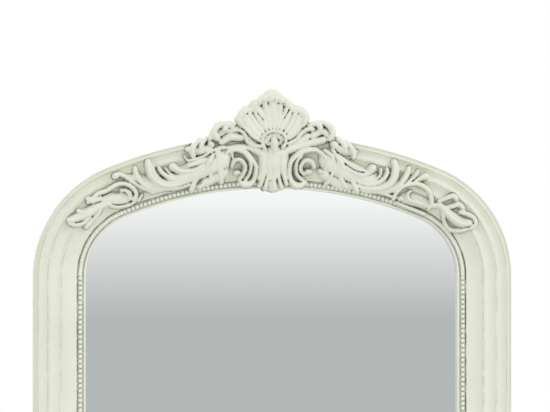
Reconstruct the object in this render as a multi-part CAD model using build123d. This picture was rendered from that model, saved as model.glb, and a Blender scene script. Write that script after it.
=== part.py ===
from build123d import *
import math
import os

os.makedirs("parts", exist_ok=True)

# Driving sizes, in millimetres. +Z is up, the front looks to -Y, and the origin is on the floor
# under the middle of the mirror, so the pivot line runs along X at y = 0.

# Mirror frame
frame_width = 640.0
frame_bottom_z = 190.0
spring_z = 1551.0
arch_rise = 187.0
shoulder_radius = 154.0
moulding_width = 70.0
frame_back_y = 16.0

# Moulding heights, as y of the front surface
rim_y = -30.0
flute_edge_y = -24.0
ridge_y = -19.5
cove_end_y = -7.0
bead_bed_y = -4.5
sight_y = -6.0
bead_bed_start = 58.5
bead_bed_width = 8.5
rim_width = 6.5
flute_width = 12.5
fillet_width = 2.0
second_flute_width = 14.0

# Rebates for glass and back
glass_front_y = 4.0
glass_thickness = 4.0
glass_rebate = 9.0
board_rebate = 20.0
board_thickness = 6.0
rebate_clearance = 1.0

# Beads
bead_radius = 3.0
bead_rise = 1.2
bead_pitch = 6.5

# Frame joints
tenon_length = 50.0
tenon_width = 24.0
tenon_thickness = 8.0
tenon_inset = 28.0
tenon_y = 2.0
joint_clearance = 0.1

# Board screws
screw_radius = 1.5
screw_head_radius = 3.2
screw_head_height = 1.6
screw_length = 14.0
screw_clearance = 0.05
screw_inset = 55.5

# Pivots
pivot_z = 1000.0
plate_thickness = 3.0
plate_height = 90.0
plate_depth = 28.0
collar_radius = 11.0
collar_thickness = 4.0
shank_radius = 5.0
thread_radius = 4.0
root_radius = 4.0
root_length = 25.0
leather_thickness = 3.0
leather_radius = 14.0
bush_wall = 1.95
running_clearance = 0.05
loose_clearance = 0.4
press_clearance = 0.02
clamp_washer_thickness = 2.5
clamp_washer_radius = 13.0
knob_radius = 22.0
knob_length = 36.0
insert_radius = 7.0
insert_length = 20.0
thread_reach = 16.0
plate_screw_offset = 32.0
plate_screw_radius = 1.75
plate_screw_length = 20.0

# Stand
post_width = 44.0
post_bottom_z = 60.0
foot_block_top_z = 255.0
pivot_block_height = 140.0
finial_height = 78.0
post_neck_height = 30.0
foot_thickness = 34.0
foot_reach = 264.0
foot_tenon_thickness = 12.0
foot_tenon_length = 16.0
foot_tenon_bottom_z = 110.0
foot_tenon_top_z = 190.0
glide_radius = 10.0
glide_height = 6.0
glide_pin_radius = 2.0
glide_pin_length = 14.0
glide_offset = 237.0
peg_radius = 3.0
stretcher_z = 140.0
stretcher_block = 36.0
stretcher_block_length = 46.0
stretcher_radius = 17.0
bolt_radius = 4.0
bolt_head_radius = 8.0
bolt_head_height = 4.0
bolt_recess_depth = 7.0
bolt_hole_clearance = 0.3
barrel_nut_radius = 6.0
barrel_nut_length = 24.0
barrel_nut_offset = 22.0
dowel_radius = 4.0
dowel_length = 24.0
dowel_offset = 12.0
cap_radius = 13.0
cap_thickness = 3.0

# Sizes that follow
half_width = frame_width / 2
sight_inset = moulding_width
bead_line = bead_bed_start + bead_bed_width / 2
shoulder_x = half_width - shoulder_radius
crown_drop = (shoulder_x**2 - (arch_rise - shoulder_radius) ** 2) / (2 * (arch_rise - shoulder_radius))
crown_radius = arch_rise + crown_drop
crown_z = spring_z - crown_drop
crown_angle = math.atan2(shoulder_x, crown_drop)
crown_arc = crown_radius * crown_angle
apex_z = spring_z + arch_rise
plate_x = half_width + plate_thickness
collar_x = plate_x + collar_thickness
post_inner_x = collar_x + leather_thickness
post_outer_x = post_inner_x + post_width
post_x = post_inner_x + post_width / 2
bush_radius = shank_radius + running_clearance + bush_wall
washer_x = post_outer_x + clamp_washer_thickness


def save(shape, name):
    """Write one piece, in place, under its own name."""
    export_step(shape, f"parts/{name}.step")


def flip(shape):
    """Mirror a right-hand piece to the left side."""
    return mirror(shape, about=Plane.YZ)


def front_back(shape):
    """Mirror a front piece to the back."""
    return mirror(shape, about=Plane.XZ)


def round_x(radius, start, end, y=0.0, z=0.0):
    """A cylinder along X between two x values."""
    length = abs(end - start)
    return Pos((start + end) / 2, y, z) * Rot(0, 90, 0) * Cylinder(radius, length)


def round_y(radius, start, end, x=0.0, z=0.0):
    """A cylinder along Y between two y values."""
    length = abs(end - start)
    return Pos(x, (start + end) / 2, z) * Rot(90, 0, 0) * Cylinder(radius, length)


def arch_point(along, inset, side_y=0.0):
    """A point on the frame: distance along the outer edge from the crown, and in from that edge."""
    side = 1.0 if along >= 0 else -1.0
    distance = abs(along)
    if distance <= crown_arc:
        angle = distance / crown_radius
        reach = crown_radius - inset
        return (side * reach * math.sin(angle), side_y, crown_z + reach * math.cos(angle))
    angle = crown_angle + (distance - crown_arc) / shoulder_radius
    if angle <= math.pi / 2:
        reach = shoulder_radius - inset
        x = shoulder_x + reach * math.sin(angle)
        return (side * x, side_y, spring_z + reach * math.cos(angle))
    below = distance - crown_arc - shoulder_radius * (math.pi / 2 - crown_angle)
    return (side * (half_width - inset), side_y, spring_z - below)


def outline(inset, y):
    """The frame's closed outline at one inset, in the plane y."""
    low = frame_bottom_z + inset
    turn = (crown_angle + math.pi / 2) / 2
    reach = shoulder_radius - inset
    corner = (half_width - inset, y, low)
    spring = (half_width - inset, y, spring_z)
    middle = (shoulder_x + reach * math.sin(turn), y, spring_z + reach * math.cos(turn))
    join = arch_point(crown_arc, inset, y)
    top = arch_point(0.0, inset, y)
    left = [(-p[0], p[1], p[2]) for p in (join, middle, spring, corner)]
    edges = [
        Line(corner, spring),
        ThreePointArc(spring, middle, join),
        ThreePointArc(join, top, left[0]),
        ThreePointArc(left[0], left[1], left[2]),
        Line(left[2], left[3]),
        Line(left[3], corner),
    ]
    return Wire(edges)


def slab(inset, front, thickness):
    """A flat plate with the frame's outline at one inset."""
    return extrude(Face(outline(inset, front)), amount=thickness, dir=(0, 1, 0))


# Moulding section, drawn as distance in from the outer edge and y
def moulding_section():
    flute_1 = rim_width + flute_width
    flute_2 = flute_1 + fillet_width + second_flute_width
    cove_start = flute_2 + fillet_width
    bead_end = bead_bed_start + bead_bed_width
    glass_edge = moulding_width - glass_rebate
    board_edge = moulding_width - board_rebate
    rim_shoulder = rim_y + 3.0
    second_y = ridge_y - 0.5
    board_y = glass_front_y + glass_thickness
    cove_mid = (cove_start + bead_bed_start) / 2
    cove_mid_y = (ridge_y + cove_end_y) / 2 + 3.0
    edges = [
        Line((0, frame_back_y), (0, rim_y + 4.0)),
        ThreePointArc((0, rim_y + 4.0), (rim_width / 2, rim_y), (rim_width, rim_shoulder)),
        ThreePointArc(
            (rim_width, rim_shoulder),
            ((rim_width + flute_1) / 2, rim_shoulder + 5.0),
            (flute_1, flute_edge_y - 0.5),
        ),
        Line((flute_1, flute_edge_y - 0.5), (flute_1 + fillet_width, flute_edge_y)),
        ThreePointArc(
            (flute_1 + fillet_width, flute_edge_y),
            (flute_1 + fillet_width + second_flute_width / 2, flute_edge_y + 5.6),
            (flute_2, second_y),
        ),
        Line((flute_2, second_y), (cove_start, ridge_y)),
        ThreePointArc((cove_start, ridge_y), (cove_mid, cove_mid_y), (bead_bed_start, cove_end_y)),
        Line((bead_bed_start, cove_end_y), (bead_bed_start, bead_bed_y)),
        Line((bead_bed_start, bead_bed_y), (bead_end, bead_bed_y)),
        Line((bead_end, bead_bed_y), (bead_end, sight_y)),
        Line((bead_end, sight_y), (sight_inset, sight_y)),
        Line((sight_inset, sight_y), (sight_inset, glass_front_y)),
        Line((sight_inset, glass_front_y), (glass_edge, glass_front_y)),
        Line((glass_edge, glass_front_y), (glass_edge, board_y)),
        Line((glass_edge, board_y), (board_edge, board_y)),
        Line((board_edge, board_y), (board_edge, frame_back_y)),
        Line((board_edge, frame_back_y), (0, frame_back_y)),
    ]
    return Face(Wire(edges))


section = moulding_section()

# The section stands on its plane: x is the inset and y is the depth
stile_section = Pos(half_width, 0, 0) * mirror(section, about=Plane.YZ)
crown_section = Plane(origin=(0, 0, apex_z), x_dir=(0, 0, -1), z_dir=(1, 0, 0)) * section
if crown_section.bounding_box().max.Y < 0.9 * frame_back_y:
    crown_section = mirror(crown_section, about=Plane.XZ)
rail_section = Plane(origin=(0, 0, frame_bottom_z), x_dir=(0, 0, 1), z_dir=(-1, 0, 0)) * section
if rail_section.bounding_box().max.Y < 0.9 * frame_back_y:
    rail_section = mirror(rail_section, about=Plane.XZ)

# Frame stiles, mitred to the bottom rail
stile = extrude(
    Pos(0, 0, frame_bottom_z) * stile_section, amount=spring_z - frame_bottom_z, dir=(0, 0, 1)
)
mitre = Plane(origin=(half_width, 0, frame_bottom_z), z_dir=(1, 0, 1))
stile = split(stile, bisect_by=mitre, keep=Keep.TOP)

# Bottom rail
rail = extrude(rail_section, amount=half_width, dir=(1, 0, 0))
rail = rail + extrude(rail_section, amount=half_width, dir=(-1, 0, 0))
rail = split(rail, bisect_by=mitre, keep=Keep.BOTTOM)
rail = split(
    rail, bisect_by=Plane(origin=(-half_width, 0, frame_bottom_z), z_dir=(-1, 0, 1)), keep=Keep.BOTTOM
)

# Arch: two shoulders and a crown, each bent round its own centre
shoulder_axis = Axis((shoulder_x, 0, spring_z), (0, -1, 0))
shoulder_angle = 90.0 - math.degrees(crown_angle)
shoulder = revolve(Pos(0, 0, spring_z) * stile_section, shoulder_axis, shoulder_angle)
crown_axis = Axis((0, 0, crown_z), (0, 1, 0))
crown_start = crown_section.rotate(crown_axis, -math.degrees(crown_angle))
crown = revolve(crown_start, crown_axis, 2 * math.degrees(crown_angle))


# Loose tenons across the arch joints, and splines across the mitres
def tenon_at(point, angle, extra):
    body = Box(
        tenon_length + 2 * extra,
        tenon_thickness + 2 * extra,
        tenon_width + 2 * extra,
    )
    return Pos(*point) * Rot(0, angle, 0) * body


spring_joint = (half_width - tenon_inset, tenon_y, spring_z)
crown_joint = arch_point(crown_arc, tenon_inset, tenon_y)
mitre_joint = (half_width - tenon_inset, tenon_y, frame_bottom_z + tenon_inset)
joint_places = [
    (spring_joint, 90.0),
    (crown_joint, math.degrees(crown_angle)),
    (mitre_joint, -45.0),
]
right_tenons = [tenon_at(p, a, 0.0) for p, a in joint_places]
right_mortises = [tenon_at(p, a, joint_clearance) for p, a in joint_places]
spring_mortise, crown_mortise, mitre_mortise = right_mortises
save(Compound(children=[right_tenons[0], right_tenons[1], flip(right_tenons[0]), flip(right_tenons[1])]),
     "arch_loose_tenons")
save(Compound(children=[right_tenons[2], flip(right_tenons[2])]), "mitre_splines")
stile = stile - spring_mortise - mitre_mortise
shoulder = shoulder - spring_mortise - crown_mortise
crown = crown - crown_mortise - flip(crown_mortise)
rail = rail - mitre_mortise - flip(mitre_mortise)

# Screws that hold the backing board, at even steps round the rebate
board_back_y = glass_front_y + glass_thickness + board_thickness
stile_steps = [frame_bottom_z + (spring_z - frame_bottom_z) * k for k in (0.12, 0.32, 0.52, 0.72, 0.92)]
stile_screws = [(half_width - screw_inset, z) for z in stile_steps]
arch_turn = crown_arc + shoulder_radius * (math.pi / 2 - crown_angle) / 2
shoulder_spot = arch_point(arch_turn, screw_inset)
crown_spot = arch_point(0.45 * crown_arc, screw_inset)
rail_spot = (0.4 * half_width, 0, frame_bottom_z + screw_inset)


def board_screw(x, z):
    head = round_y(screw_head_radius, board_back_y, board_back_y + screw_head_height, x, z)
    shank = round_y(screw_radius, board_back_y - screw_length, board_back_y + 0.5, x, z)
    return head + shank


def board_hole(x, z):
    return round_y(screw_radius + screw_clearance, board_back_y - screw_length - 0.3, board_back_y + 1, x, z)


right_spots = stile_screws + [(p[0], p[2]) for p in (shoulder_spot, crown_spot, rail_spot)]
all_spots = right_spots + [(-x, z) for x, z in right_spots]
save(Compound(children=[board_screw(x, z) for x, z in all_spots]), "backing_screws")
for x, z in stile_screws:
    stile = stile - board_hole(x, z)
shoulder = shoulder - board_hole(shoulder_spot[0], shoulder_spot[2])
for side in (1, -1):
    crown = crown - board_hole(side * crown_spot[0], crown_spot[2])
    rail = rail - board_hole(side * rail_spot[0], rail_spot[2])

# Glass and backing board
save(slab(moulding_width - glass_rebate + rebate_clearance, glass_front_y, glass_thickness), "mirror_glass")
board = slab(
    moulding_width - board_rebate + rebate_clearance, glass_front_y + glass_thickness, board_thickness
)
for x, z in all_spots:
    board = board - board_hole(x, z)
save(board, "backing_board")

# Pivot plate, spindle and plate screws on the stile's outer side
plate = Pos(half_width + plate_thickness / 2, 0, pivot_z) * Box(plate_thickness, plate_depth, plate_height)
plate = fillet(plate.edges().filter_by(Axis.X), 6.0)
root_hole = round_x(root_radius + screw_clearance, half_width - root_length - 0.3, plate_x + 1, 0, pivot_z)
plate = plate - root_hole
stile = stile - root_hole
spindle = round_x(root_radius, half_width - root_length, collar_x, 0, pivot_z)
spindle = spindle + round_x(collar_radius, plate_x, collar_x, 0, pivot_z)
shank_end = washer_x - 1.0
spindle = spindle + round_x(shank_radius, collar_x, shank_end, 0, pivot_z)
thread_end = washer_x + thread_reach
spindle = spindle + round_x(thread_radius, shank_end - 1, thread_end, 0, pivot_z)
spindle = chamfer(spindle.edges().filter_by(GeomType.CIRCLE).sort_by(Axis.X)[-1], 0.8)
save(spindle, "spindle_right")
save(flip(spindle), "spindle_left")
plate_screws = []
for z in (pivot_z - plate_screw_offset, pivot_z + plate_screw_offset):
    screw = round_x(plate_screw_radius, half_width - plate_screw_length, plate_x + 0.5, 0, z)
    screw = screw + round_x(2 * plate_screw_radius, plate_x, plate_x + 1.8, 0, z)
    hole = round_x(plate_screw_radius + screw_clearance, half_width - plate_screw_length - 0.3, plate_x + 1, 0, z)
    plate = plate - hole
    stile = stile - hole
    plate_screws.append(screw)
save(Compound(children=plate_screws + [flip(s) for s in plate_screws]), "pivot_plate_screws")
save(plate, "pivot_plate_right")
save(flip(plate), "pivot_plate_left")
save(stile, "frame_stile_right")
save(flip(stile), "frame_stile_left")
save(rail, "frame_bottom_rail")
save(shoulder, "frame_shoulder_right")
save(flip(shoulder), "frame_shoulder_left")
save(crown, "frame_crown")

# Beads: domes that stand on the flat bed beside the sight edge
ball = Sphere(bead_radius)
bead = split(ball, bisect_by=Plane(origin=(0, bead_rise, 0), z_dir=(0, 1, 0)), keep=Keep.BOTTOM)
bead = Pos(0, bead_bed_y - bead_rise, 0) * bead


def beads_between(start, end, place):
    """Domes at an even pitch between two distances, each at the point that place gives."""
    count = max(1, round((end - start) / bead_pitch))
    step = (end - start) / count
    found = []
    for k in range(count):
        x, z = place(start + (k + 0.5) * step)
        found.append(Pos(x, 0, z) * bead)
    return found


bead_corner = frame_bottom_z + bead_line
stile_bead_start = bead_corner + bead_pitch / 2
rail_bead_reach = half_width - bead_line + bead_pitch / 2
stile_beads = beads_between(stile_bead_start, spring_z, lambda s: (half_width - bead_line, s))
save(Compound(children=stile_beads), "stile_beads_right")
save(Compound(children=[Pos(-2 * (half_width - bead_line), 0, 0) * b for b in stile_beads]), "stile_beads_left")
rail_beads = beads_between(-rail_bead_reach, rail_bead_reach, lambda s: (s, bead_corner))
save(Compound(children=rail_beads), "rail_beads")
crown_bead_radius = crown_radius - bead_line
shoulder_bead_radius = shoulder_radius - bead_line


def crown_place(s):
    angle = s / crown_bead_radius
    return (crown_bead_radius * math.sin(angle), crown_z + crown_bead_radius * math.cos(angle))


def shoulder_place(s):
    angle = crown_angle + s / shoulder_bead_radius
    x = shoulder_x + shoulder_bead_radius * math.sin(angle)
    return (x, spring_z + shoulder_bead_radius * math.cos(angle))


arch_beads = beads_between(
    -crown_bead_radius * crown_angle, crown_bead_radius * crown_angle, crown_place
)
turn_beads = beads_between(0.0, shoulder_bead_radius * (math.pi / 2 - crown_angle), shoulder_place)
arch_beads = arch_beads + turn_beads + [flip(b) for b in turn_beads]
save(Compound(children=arch_beads), "arch_beads")


# Carving. Each stroke is a run of points: along the arch's outer edge from the crown, in from that
# edge, width, and relief above the moulding. The strokes join into one piece that fits the moulding.
def moulding_front(inset):
    """How far the moulding stands forward, smoothed over its flutes."""
    table = [(0.0, 28.0), (20.0, 24.0), (36.0, 19.5), (58.0, 8.0), (70.0, 6.0)]
    if inset <= table[0][0]:
        return table[0][1]
    for (u0, f0), (u1, f1) in zip(table, table[1:]):
        if inset <= u1:
            return f0 + (f1 - f0) * (inset - u0) / (u1 - u0)
    return table[-1][1]


carving_back = 4.0


def triangle(a, b, c):
    return Face(Wire.make_polygon([Vector(*a), Vector(*b), Vector(*c)], close=True))


def stroke(points):
    """One carved stroke as a closed solid with a flat-topped, sloping section."""
    places = [arch_point(p[0], p[1]) for p in points]
    first = (places[1][0] - places[0][0], places[1][2] - places[0][2])
    last = (places[-1][0] - places[-2][0], places[-1][2] - places[-2][2])
    rows = []
    count = len(points)
    for i, (place, point) in enumerate(zip(places, points)):
        before = places[max(i - 1, 0)]
        after = places[min(i + 1, count - 1)]
        dx = after[0] - before[0]
        dz = after[2] - before[2]
        size = math.hypot(dx, dz)
        nx = -dz / size
        nz = dx / size
        half = point[2] / 2
        front = -(moulding_front(point[1]) + point[3])
        x = place[0]
        z = place[2]
        rows.append([
            (x + nx * half, -carving_back, z + nz * half),
            (x + nx * half, front + 0.55 * point[3], z + nz * half),
            (x + nx * half * 0.55, front, z + nz * half * 0.55),
            (x - nx * half * 0.55, front, z - nz * half * 0.55),
            (x - nx * half, front + 0.55 * point[3], z - nz * half),
            (x - nx * half, -carving_back, z - nz * half),
        ])
    for index, way, lead in ((0, -1, first), (-1, 1, last)):
        size = math.hypot(*lead)
        push = 0.35 * points[index][2] * way / size
        row = rows[index]
        middle = places[index]
        cap = []
        for q in row:
            x = middle[0] + (q[0] - middle[0]) * 0.45 + lead[0] * push
            z = middle[2] + (q[2] - middle[2]) * 0.45 + lead[1] * push
            y = q[1] if q[1] == -carving_back else q[1] + 0.2 * points[index][3]
            cap.append((x, y, z))
        if way < 0:
            rows.insert(0, cap)
        else:
            rows.append(cap)
    faces = []
    for near, far in zip(rows, rows[1:]):
        for k in range(5):
            faces.append(triangle(near[k], far[k], far[k + 1]))
            faces.append(triangle(near[k], far[k + 1], near[k + 1]))
        faces.append(triangle(near[0], near[5], far[5]))
        faces.append(triangle(near[0], far[5], far[0]))
    for row in (rows[0], rows[-1]):
        for k in range(1, 5):
            faces.append(triangle(row[0], row[k], row[k + 1]))
    return Solid(Shell(faces))


bead_cover = 9.3
bead_room = slab(bead_bed_start, -bead_cover, bead_cover + glass_front_y)
frame_solids = [crown, shoulder, flip(shoulder)]


def carving(strokes):
    """Join the strokes, cut them to the moulding's surface and keep the beads clear."""
    solids = [stroke(points) for points in strokes.values()]
    joined = solids[0].fuse(*solids[1:])
    fitted = joined.cut(*frame_solids, bead_room)
    pieces = sorted(fitted.solids(), key=lambda s: s.volume)
    return pieces[-1]


crest_strokes = {
    "shell_rim_middle": [
        (-27, -38, 8, 13), (-21, -46, 11, 15), (-13, -52, 12, 17), (-4, -55, 13, 18), (6, -54, 12, 17),
        (14, -49, 11, 15), (20, -39, 8, 13),
    ],
    "shell_rim_left": [
        (-31, -37, 8, 11), (-38, -34, 11, 13), (-44, -29, 12, 14), (-46, -22, 11, 13),
        (-42, -15, 7, 11),
    ],
    "shell_rim_right": [
        (23, -36, 8, 11), (31, -36, 11, 13), (37, -32, 12, 14), (41, -25, 11, 13), (40, -18, 8, 11),
    ],
    "rib_1": [
        (-5, 2, 7, 9), (-16, -19, 9, 9), (-23, -38, 11, 11),
    ],
    "rib_2": [
        (-3, 0, 7, 9), (-8, -21, 9, 9), (-12, -44, 11, 12),
    ],
    "rib_3": [
        (0, 0, 7, 9), (-1, -21, 11, 9), (-3, -46, 12, 13),
    ],
    "rib_4": [
        (3, 0, 7, 9), (6, -21, 9, 9), (7, -44, 11, 12),
    ],
    "rib_5": [
        (5, 2, 7, 9), (12, -16, 8, 9), (16, -36, 9, 11),
    ],
    "rib_left_1": [
        (-8, 4, 8, 10), (-22, -12, 11, 10), (-34, -31, 9, 11),
    ],
    "rib_left_2": [
        (-11, 7, 8, 10), (-26, -6, 9, 9), (-41, -24, 9, 11),
    ],
    "rib_left_3": [
        (-14, 9, 8, 10), (-29, -0, 7, 9), (-42, -15, 7, 10),
    ],
    "rib_right_1": [
        (9, 3, 8, 10), (20, -13, 11, 10), (27, -32, 11, 11),
    ],
    "rib_right_2": [
        (12, 5, 8, 10), (25, -7, 11, 9), (36, -25, 11, 11),
    ],
    "ribbon_left": [
        (-53, -10, 5, 8), (-45, -8, 6, 11), (-39, -1, 6, 12), (-36, 8, 6, 12), (-27, 13, 7, 13),
        (-18, 14, 7, 12),
    ],
    "collar": [
        (-13, 18, 7, 15), (-16, 11, 6, 14), (-16, 4, 6, 14), (-12, -2, 6, 14), (-3, -6, 6, 14),
        (8, -4, 6, 14), (14, 1, 6, 14), (15, 9, 6, 14), (12, 15, 7, 15),
    ],
    "egg": [
        (-1, 4, 9, 15), (-0, 11, 14, 20), (-0, 19, 10, 17), (0, 26, 5, 14), (0, 32, 5, 12),
    ],
    "web_left": [
        (-17, 23, 13, 10), (-30, 17, 11, 9), (-46, 14, 11, 9), (-62, 14, 8, 10),
    ],
    "web_right": [
        (18, 19, 13, 10), (33, 14, 12, 9), (49, 8, 12, 9), (66, 2, 11, 9),
    ],
    "web_middle": [
        (0, 22, 21, 9), (-1, 36, 23, 9), (0, 48, 23, 8), (1, 60, 24, 8),
    ],
    "ribbon_right": [
        (20, 10, 7, 11), (29, 5, 7, 11), (36, -4, 7, 12), (43, -10, 7, 13), (49, -11, 8, 14),
    ],
    "scroll_left_1": [
        (-67, 20, 5, 10), (-58, 16, 8, 12), (-47, 17, 10, 13), (-38, 23, 9, 14), (-31, 31, 7, 15),
        (-26, 40, 7, 15), (-26, 49, 7, 14), (-29, 58, 8, 13), (-35, 63, 11, 13), (-43, 63, 11, 13),
        (-49, 60, 7, 12),
    ],
    "scroll_left_2": [
        (-39, 25, 6, 13), (-34, 33, 6, 14), (-33, 42, 6, 14), (-36, 51, 6, 13), (-41, 57, 7, 12),
    ],
    "scroll_left_3": [
        (-60, 39, 5, 12), (-57, 32, 7, 14), (-49, 30, 7, 15), (-43, 35, 7, 15), (-41, 42, 7, 15),
        (-44, 49, 7, 14), (-49, 55, 7, 13),
    ],
    "scroll_left_knob": [
        (-54, 47, 9, 15), (-53, 47, 9, 15),
    ],
    "scroll_left_tooth": [
        (-59, 19, 7, 10), (-58, 26, 4, 9), (-57, 30, 3, 8),
    ],
    "scroll_right_1": [
        (58, 16, 8, 12), (48, 17, 9, 13), (39, 20, 10, 14), (31, 26, 9, 15), (25, 33, 8, 15),
        (23, 42, 7, 15), (24, 52, 8, 14), (28, 60, 9, 13), (35, 65, 11, 13), (43, 64, 10, 13),
        (48, 60, 7, 12),
    ],
    "scroll_right_2": [
        (38, 26, 6, 13), (33, 33, 6, 14), (32, 42, 6, 14), (35, 51, 6, 13), (43, 57, 7, 12),
    ],
    "scroll_right_3": [
        (45, 50, 5, 12), (39, 44, 7, 14), (40, 36, 7, 15), (46, 31, 8, 15), (54, 33, 8, 15),
        (58, 39, 7, 14),
    ],
    "scroll_right_knob": [
        (50, 46, 9, 15), (52, 46, 9, 15),
    ],
    "strand_right_1": [
        (57, 16, 7, 12), (66, 20, 7, 13), (73, 27, 7, 13), (75, 36, 6, 13), (72, 45, 6, 12),
        (67, 43, 7, 12),
    ],
    "petal_1": [
        (-9, 38, 5, 10), (-12, 48, 6, 11), (-16, 59, 7, 13), (-20, 66, 7, 14),
    ],
    "petal_2": [
        (-5, 42, 5, 11), (-8, 54, 6, 12), (-10, 64, 7, 14), (-12, 70, 7, 15),
    ],
    "petal_3": [
        (0, 54, 5, 11), (1, 62, 7, 13), (2, 71, 8, 16),
    ],
    "petal_4": [
        (5, 42, 5, 11), (8, 54, 6, 12), (11, 64, 7, 14), (13, 69, 7, 15),
    ],
    "petal_5": [
        (9, 38, 5, 10), (13, 48, 6, 11), (18, 59, 7, 13), (20, 64, 6, 14),
    ],
    "petal_bud": [
        (-0, 36, 4, 14), (0, 43, 6, 17), (1, 51, 5, 15),
    ],
    "lobe_left_1": [
        (-68, -19, 9, 11), (-76, -16, 12, 13), (-80, -9, 12, 14), (-77, -2, 11, 14),
    ],
    "lobe_left_2": [
        (-56, -18, 8, 11), (-62, -17, 11, 13), (-65, -12, 10, 14),
    ],
    "lobe_left_back": [
        (-86, -2, 9, 9), (-78, -14, 11, 9), (-67, -19, 9, 9), (-55, -14, 9, 9),
    ],
    "hollow_left": [
        (-70, 4, 11, 7), (-59, -1, 12, 7), (-45, 1, 11, 7),
    ],
    "lobe_right_1": [
        (46, -15, 7, 12), (53, -18, 9, 13), (59, -16, 11, 14), (60, -11, 9, 14),
    ],
    "lobe_right_2": [
        (55, -20, 7, 11), (65, -20, 9, 13), (73, -16, 11, 14), (77, -8, 11, 14), (75, -1, 9, 13),
    ],
    "lobe_right_back": [
        (52, -3, 12, 8), (64, -10, 12, 8), (74, -3, 12, 8),
    ],
}

spray_left_strokes = {
    "finger_1": [
        (-101, -2, 8, 8), (-108, 4, 9, 11), (-112, 10, 10, 13), (-112, 16, 9, 12),
    ],
    "finger_2": [
        (-91, -3, 7, 8), (-97, 2, 8, 11), (-100, 8, 9, 13), (-101, 13, 8, 12),
    ],
    "finger_3": [
        (-86, 5, 9, 13), (-85, 6, 9, 13),
    ],
    "ridge": [
        (-124, 14, 3, 6), (-121, 21, 4, 8), (-113, 22, 5, 8), (-99, 20, 5, 8), (-86, 15, 5, 9),
        (-74, 12, 7, 10), (-63, 13, 5, 9),
    ],
    "wash": [
        (-118, 7, 7, 5), (-106, 10, 13, 6), (-90, 11, 11, 6),
    ],
    "base": [
        (-166, 43, 16, 6), (-142, 40, 24, 7), (-118, 37, 27, 8), (-96, 31, 29, 8), (-77, 27, 32, 8),
    ],
    "base_low": [
        (-100, 54, 13, 6), (-88, 50, 13, 6), (-74, 47, 16, 6),
    ],
    "leaf_0": [
        (-97, 25, 8, 10), (-110, 27, 9, 12), (-121, 28, 7, 11),
    ],
    "leaf_1": [
        (-102, 34, 7, 11), (-119, 36, 8, 13), (-134, 33, 10, 14), (-142, 26, 13, 15),
    ],
    "leaf_1_hook": [
        (-125, 40, 3, 9), (-139, 40, 5, 10), (-149, 33, 5, 11), (-153, 25, 4, 10),
    ],
    "leaf_2": [
        (-121, 42, 5, 10), (-139, 43, 7, 12), (-152, 37, 8, 13), (-160, 28, 7, 12), (-162, 21, 5, 10),
    ],
    "leaf_3": [
        (-113, 42, 5, 10), (-132, 48, 9, 12), (-151, 48, 12, 14), (-165, 41, 14, 15),
        (-173, 29, 15, 15), (-174, 17, 13, 14), (-174, 11, 10, 12),
    ],
    "leaf_4": [
        (-169, 51, 5, 9), (-182, 44, 8, 11), (-190, 34, 9, 12), (-194, 22, 9, 12), (-193, 13, 7, 11),
    ],
    "leaf_5": [
        (-180, 50, 5, 8), (-193, 40, 6, 9), (-203, 29, 6, 10), (-209, 20, 7, 11), (-216, 13, 7, 10),
    ],
    "leaf_5_ball": [
        (-222, 14, 10, 12), (-221, 14, 10, 12),
    ],
    "leaf_low": [
        (-121, 53, 5, 8), (-143, 55, 5, 9), (-161, 52, 5, 9), (-181, 51, 5, 8),
    ],
    "petal_a": [
        (-85, 20, 6, 12), (-92, 29, 11, 15), (-97, 39, 7, 12),
    ],
    "petal_b": [
        (-78, 16, 11, 11), (-77, 31, 12, 13), (-77, 48, 11, 13), (-77, 57, 8, 12),
    ],
    "petal_c": [
        (-68, 26, 7, 9), (-67, 36, 7, 11),
    ],
    "petal_d": [
        (-105, 41, 9, 10), (-115, 49, 9, 12), (-122, 60, 9, 13),
    ],
    "petal_e": [
        (-104, 57, 8, 11), (-110, 59, 9, 13),
    ],
    "petal_f": [
        (-90, 43, 8, 8), (-94, 54, 8, 9),
    ],
    "spiral_rib": [
        (-278, 27, 5, 8), (-258, 25, 7, 11), (-244, 27, 7, 12), (-232, 26, 7, 12), (-222, 25, 7, 12),
        (-212, 29, 7, 12), (-205, 37, 7, 12), (-203, 46, 7, 12), (-209, 51, 6, 11),
    ],
    "spiral_curl": [
        (-222, 34, 5, 9), (-215, 37, 6, 11), (-212, 43, 8, 13), (-214, 48, 8, 12),
    ],
    "spiral_edge": [
        (-202, 47, 4, 8), (-209, 55, 5, 8), (-223, 56, 6, 9), (-240, 52, 6, 9), (-251, 43, 6, 9),
    ],
    "spiral_floor": [
        (-253, 36, 11, 4), (-236, 40, 19, 4), (-221, 44, 19, 4),
    ],
    "spiral_bead": [
        (-196, 50, 5, 9), (-202, 55, 5, 9),
    ],
    "tail_upper": [
        (-258, 32, 8, 9), (-272, 28, 8, 11), (-274, 23, 8, 12),
    ],
    "tail_body": [
        (-250, 42, 11, 8), (-269, 39, 13, 9), (-287, 37, 15, 11), (-304, 32, 13, 12),
        (-316, 26, 11, 12), (-319, 23, 7, 11),
    ],
    "tail_lobe_1": [
        (-286, 36, 5, 10), (-295, 32, 7, 13), (-298, 26, 7, 12),
    ],
    "tail_lobe_2": [
        (-293, 43, 5, 8), (-310, 41, 7, 10), (-320, 34, 6, 10), (-323, 27, 5, 9),
    ],
    "tail_lobe_3": [
        (-269, 46, 5, 8), (-290, 48, 7, 9), (-311, 48, 7, 10),
    ],
}

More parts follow.
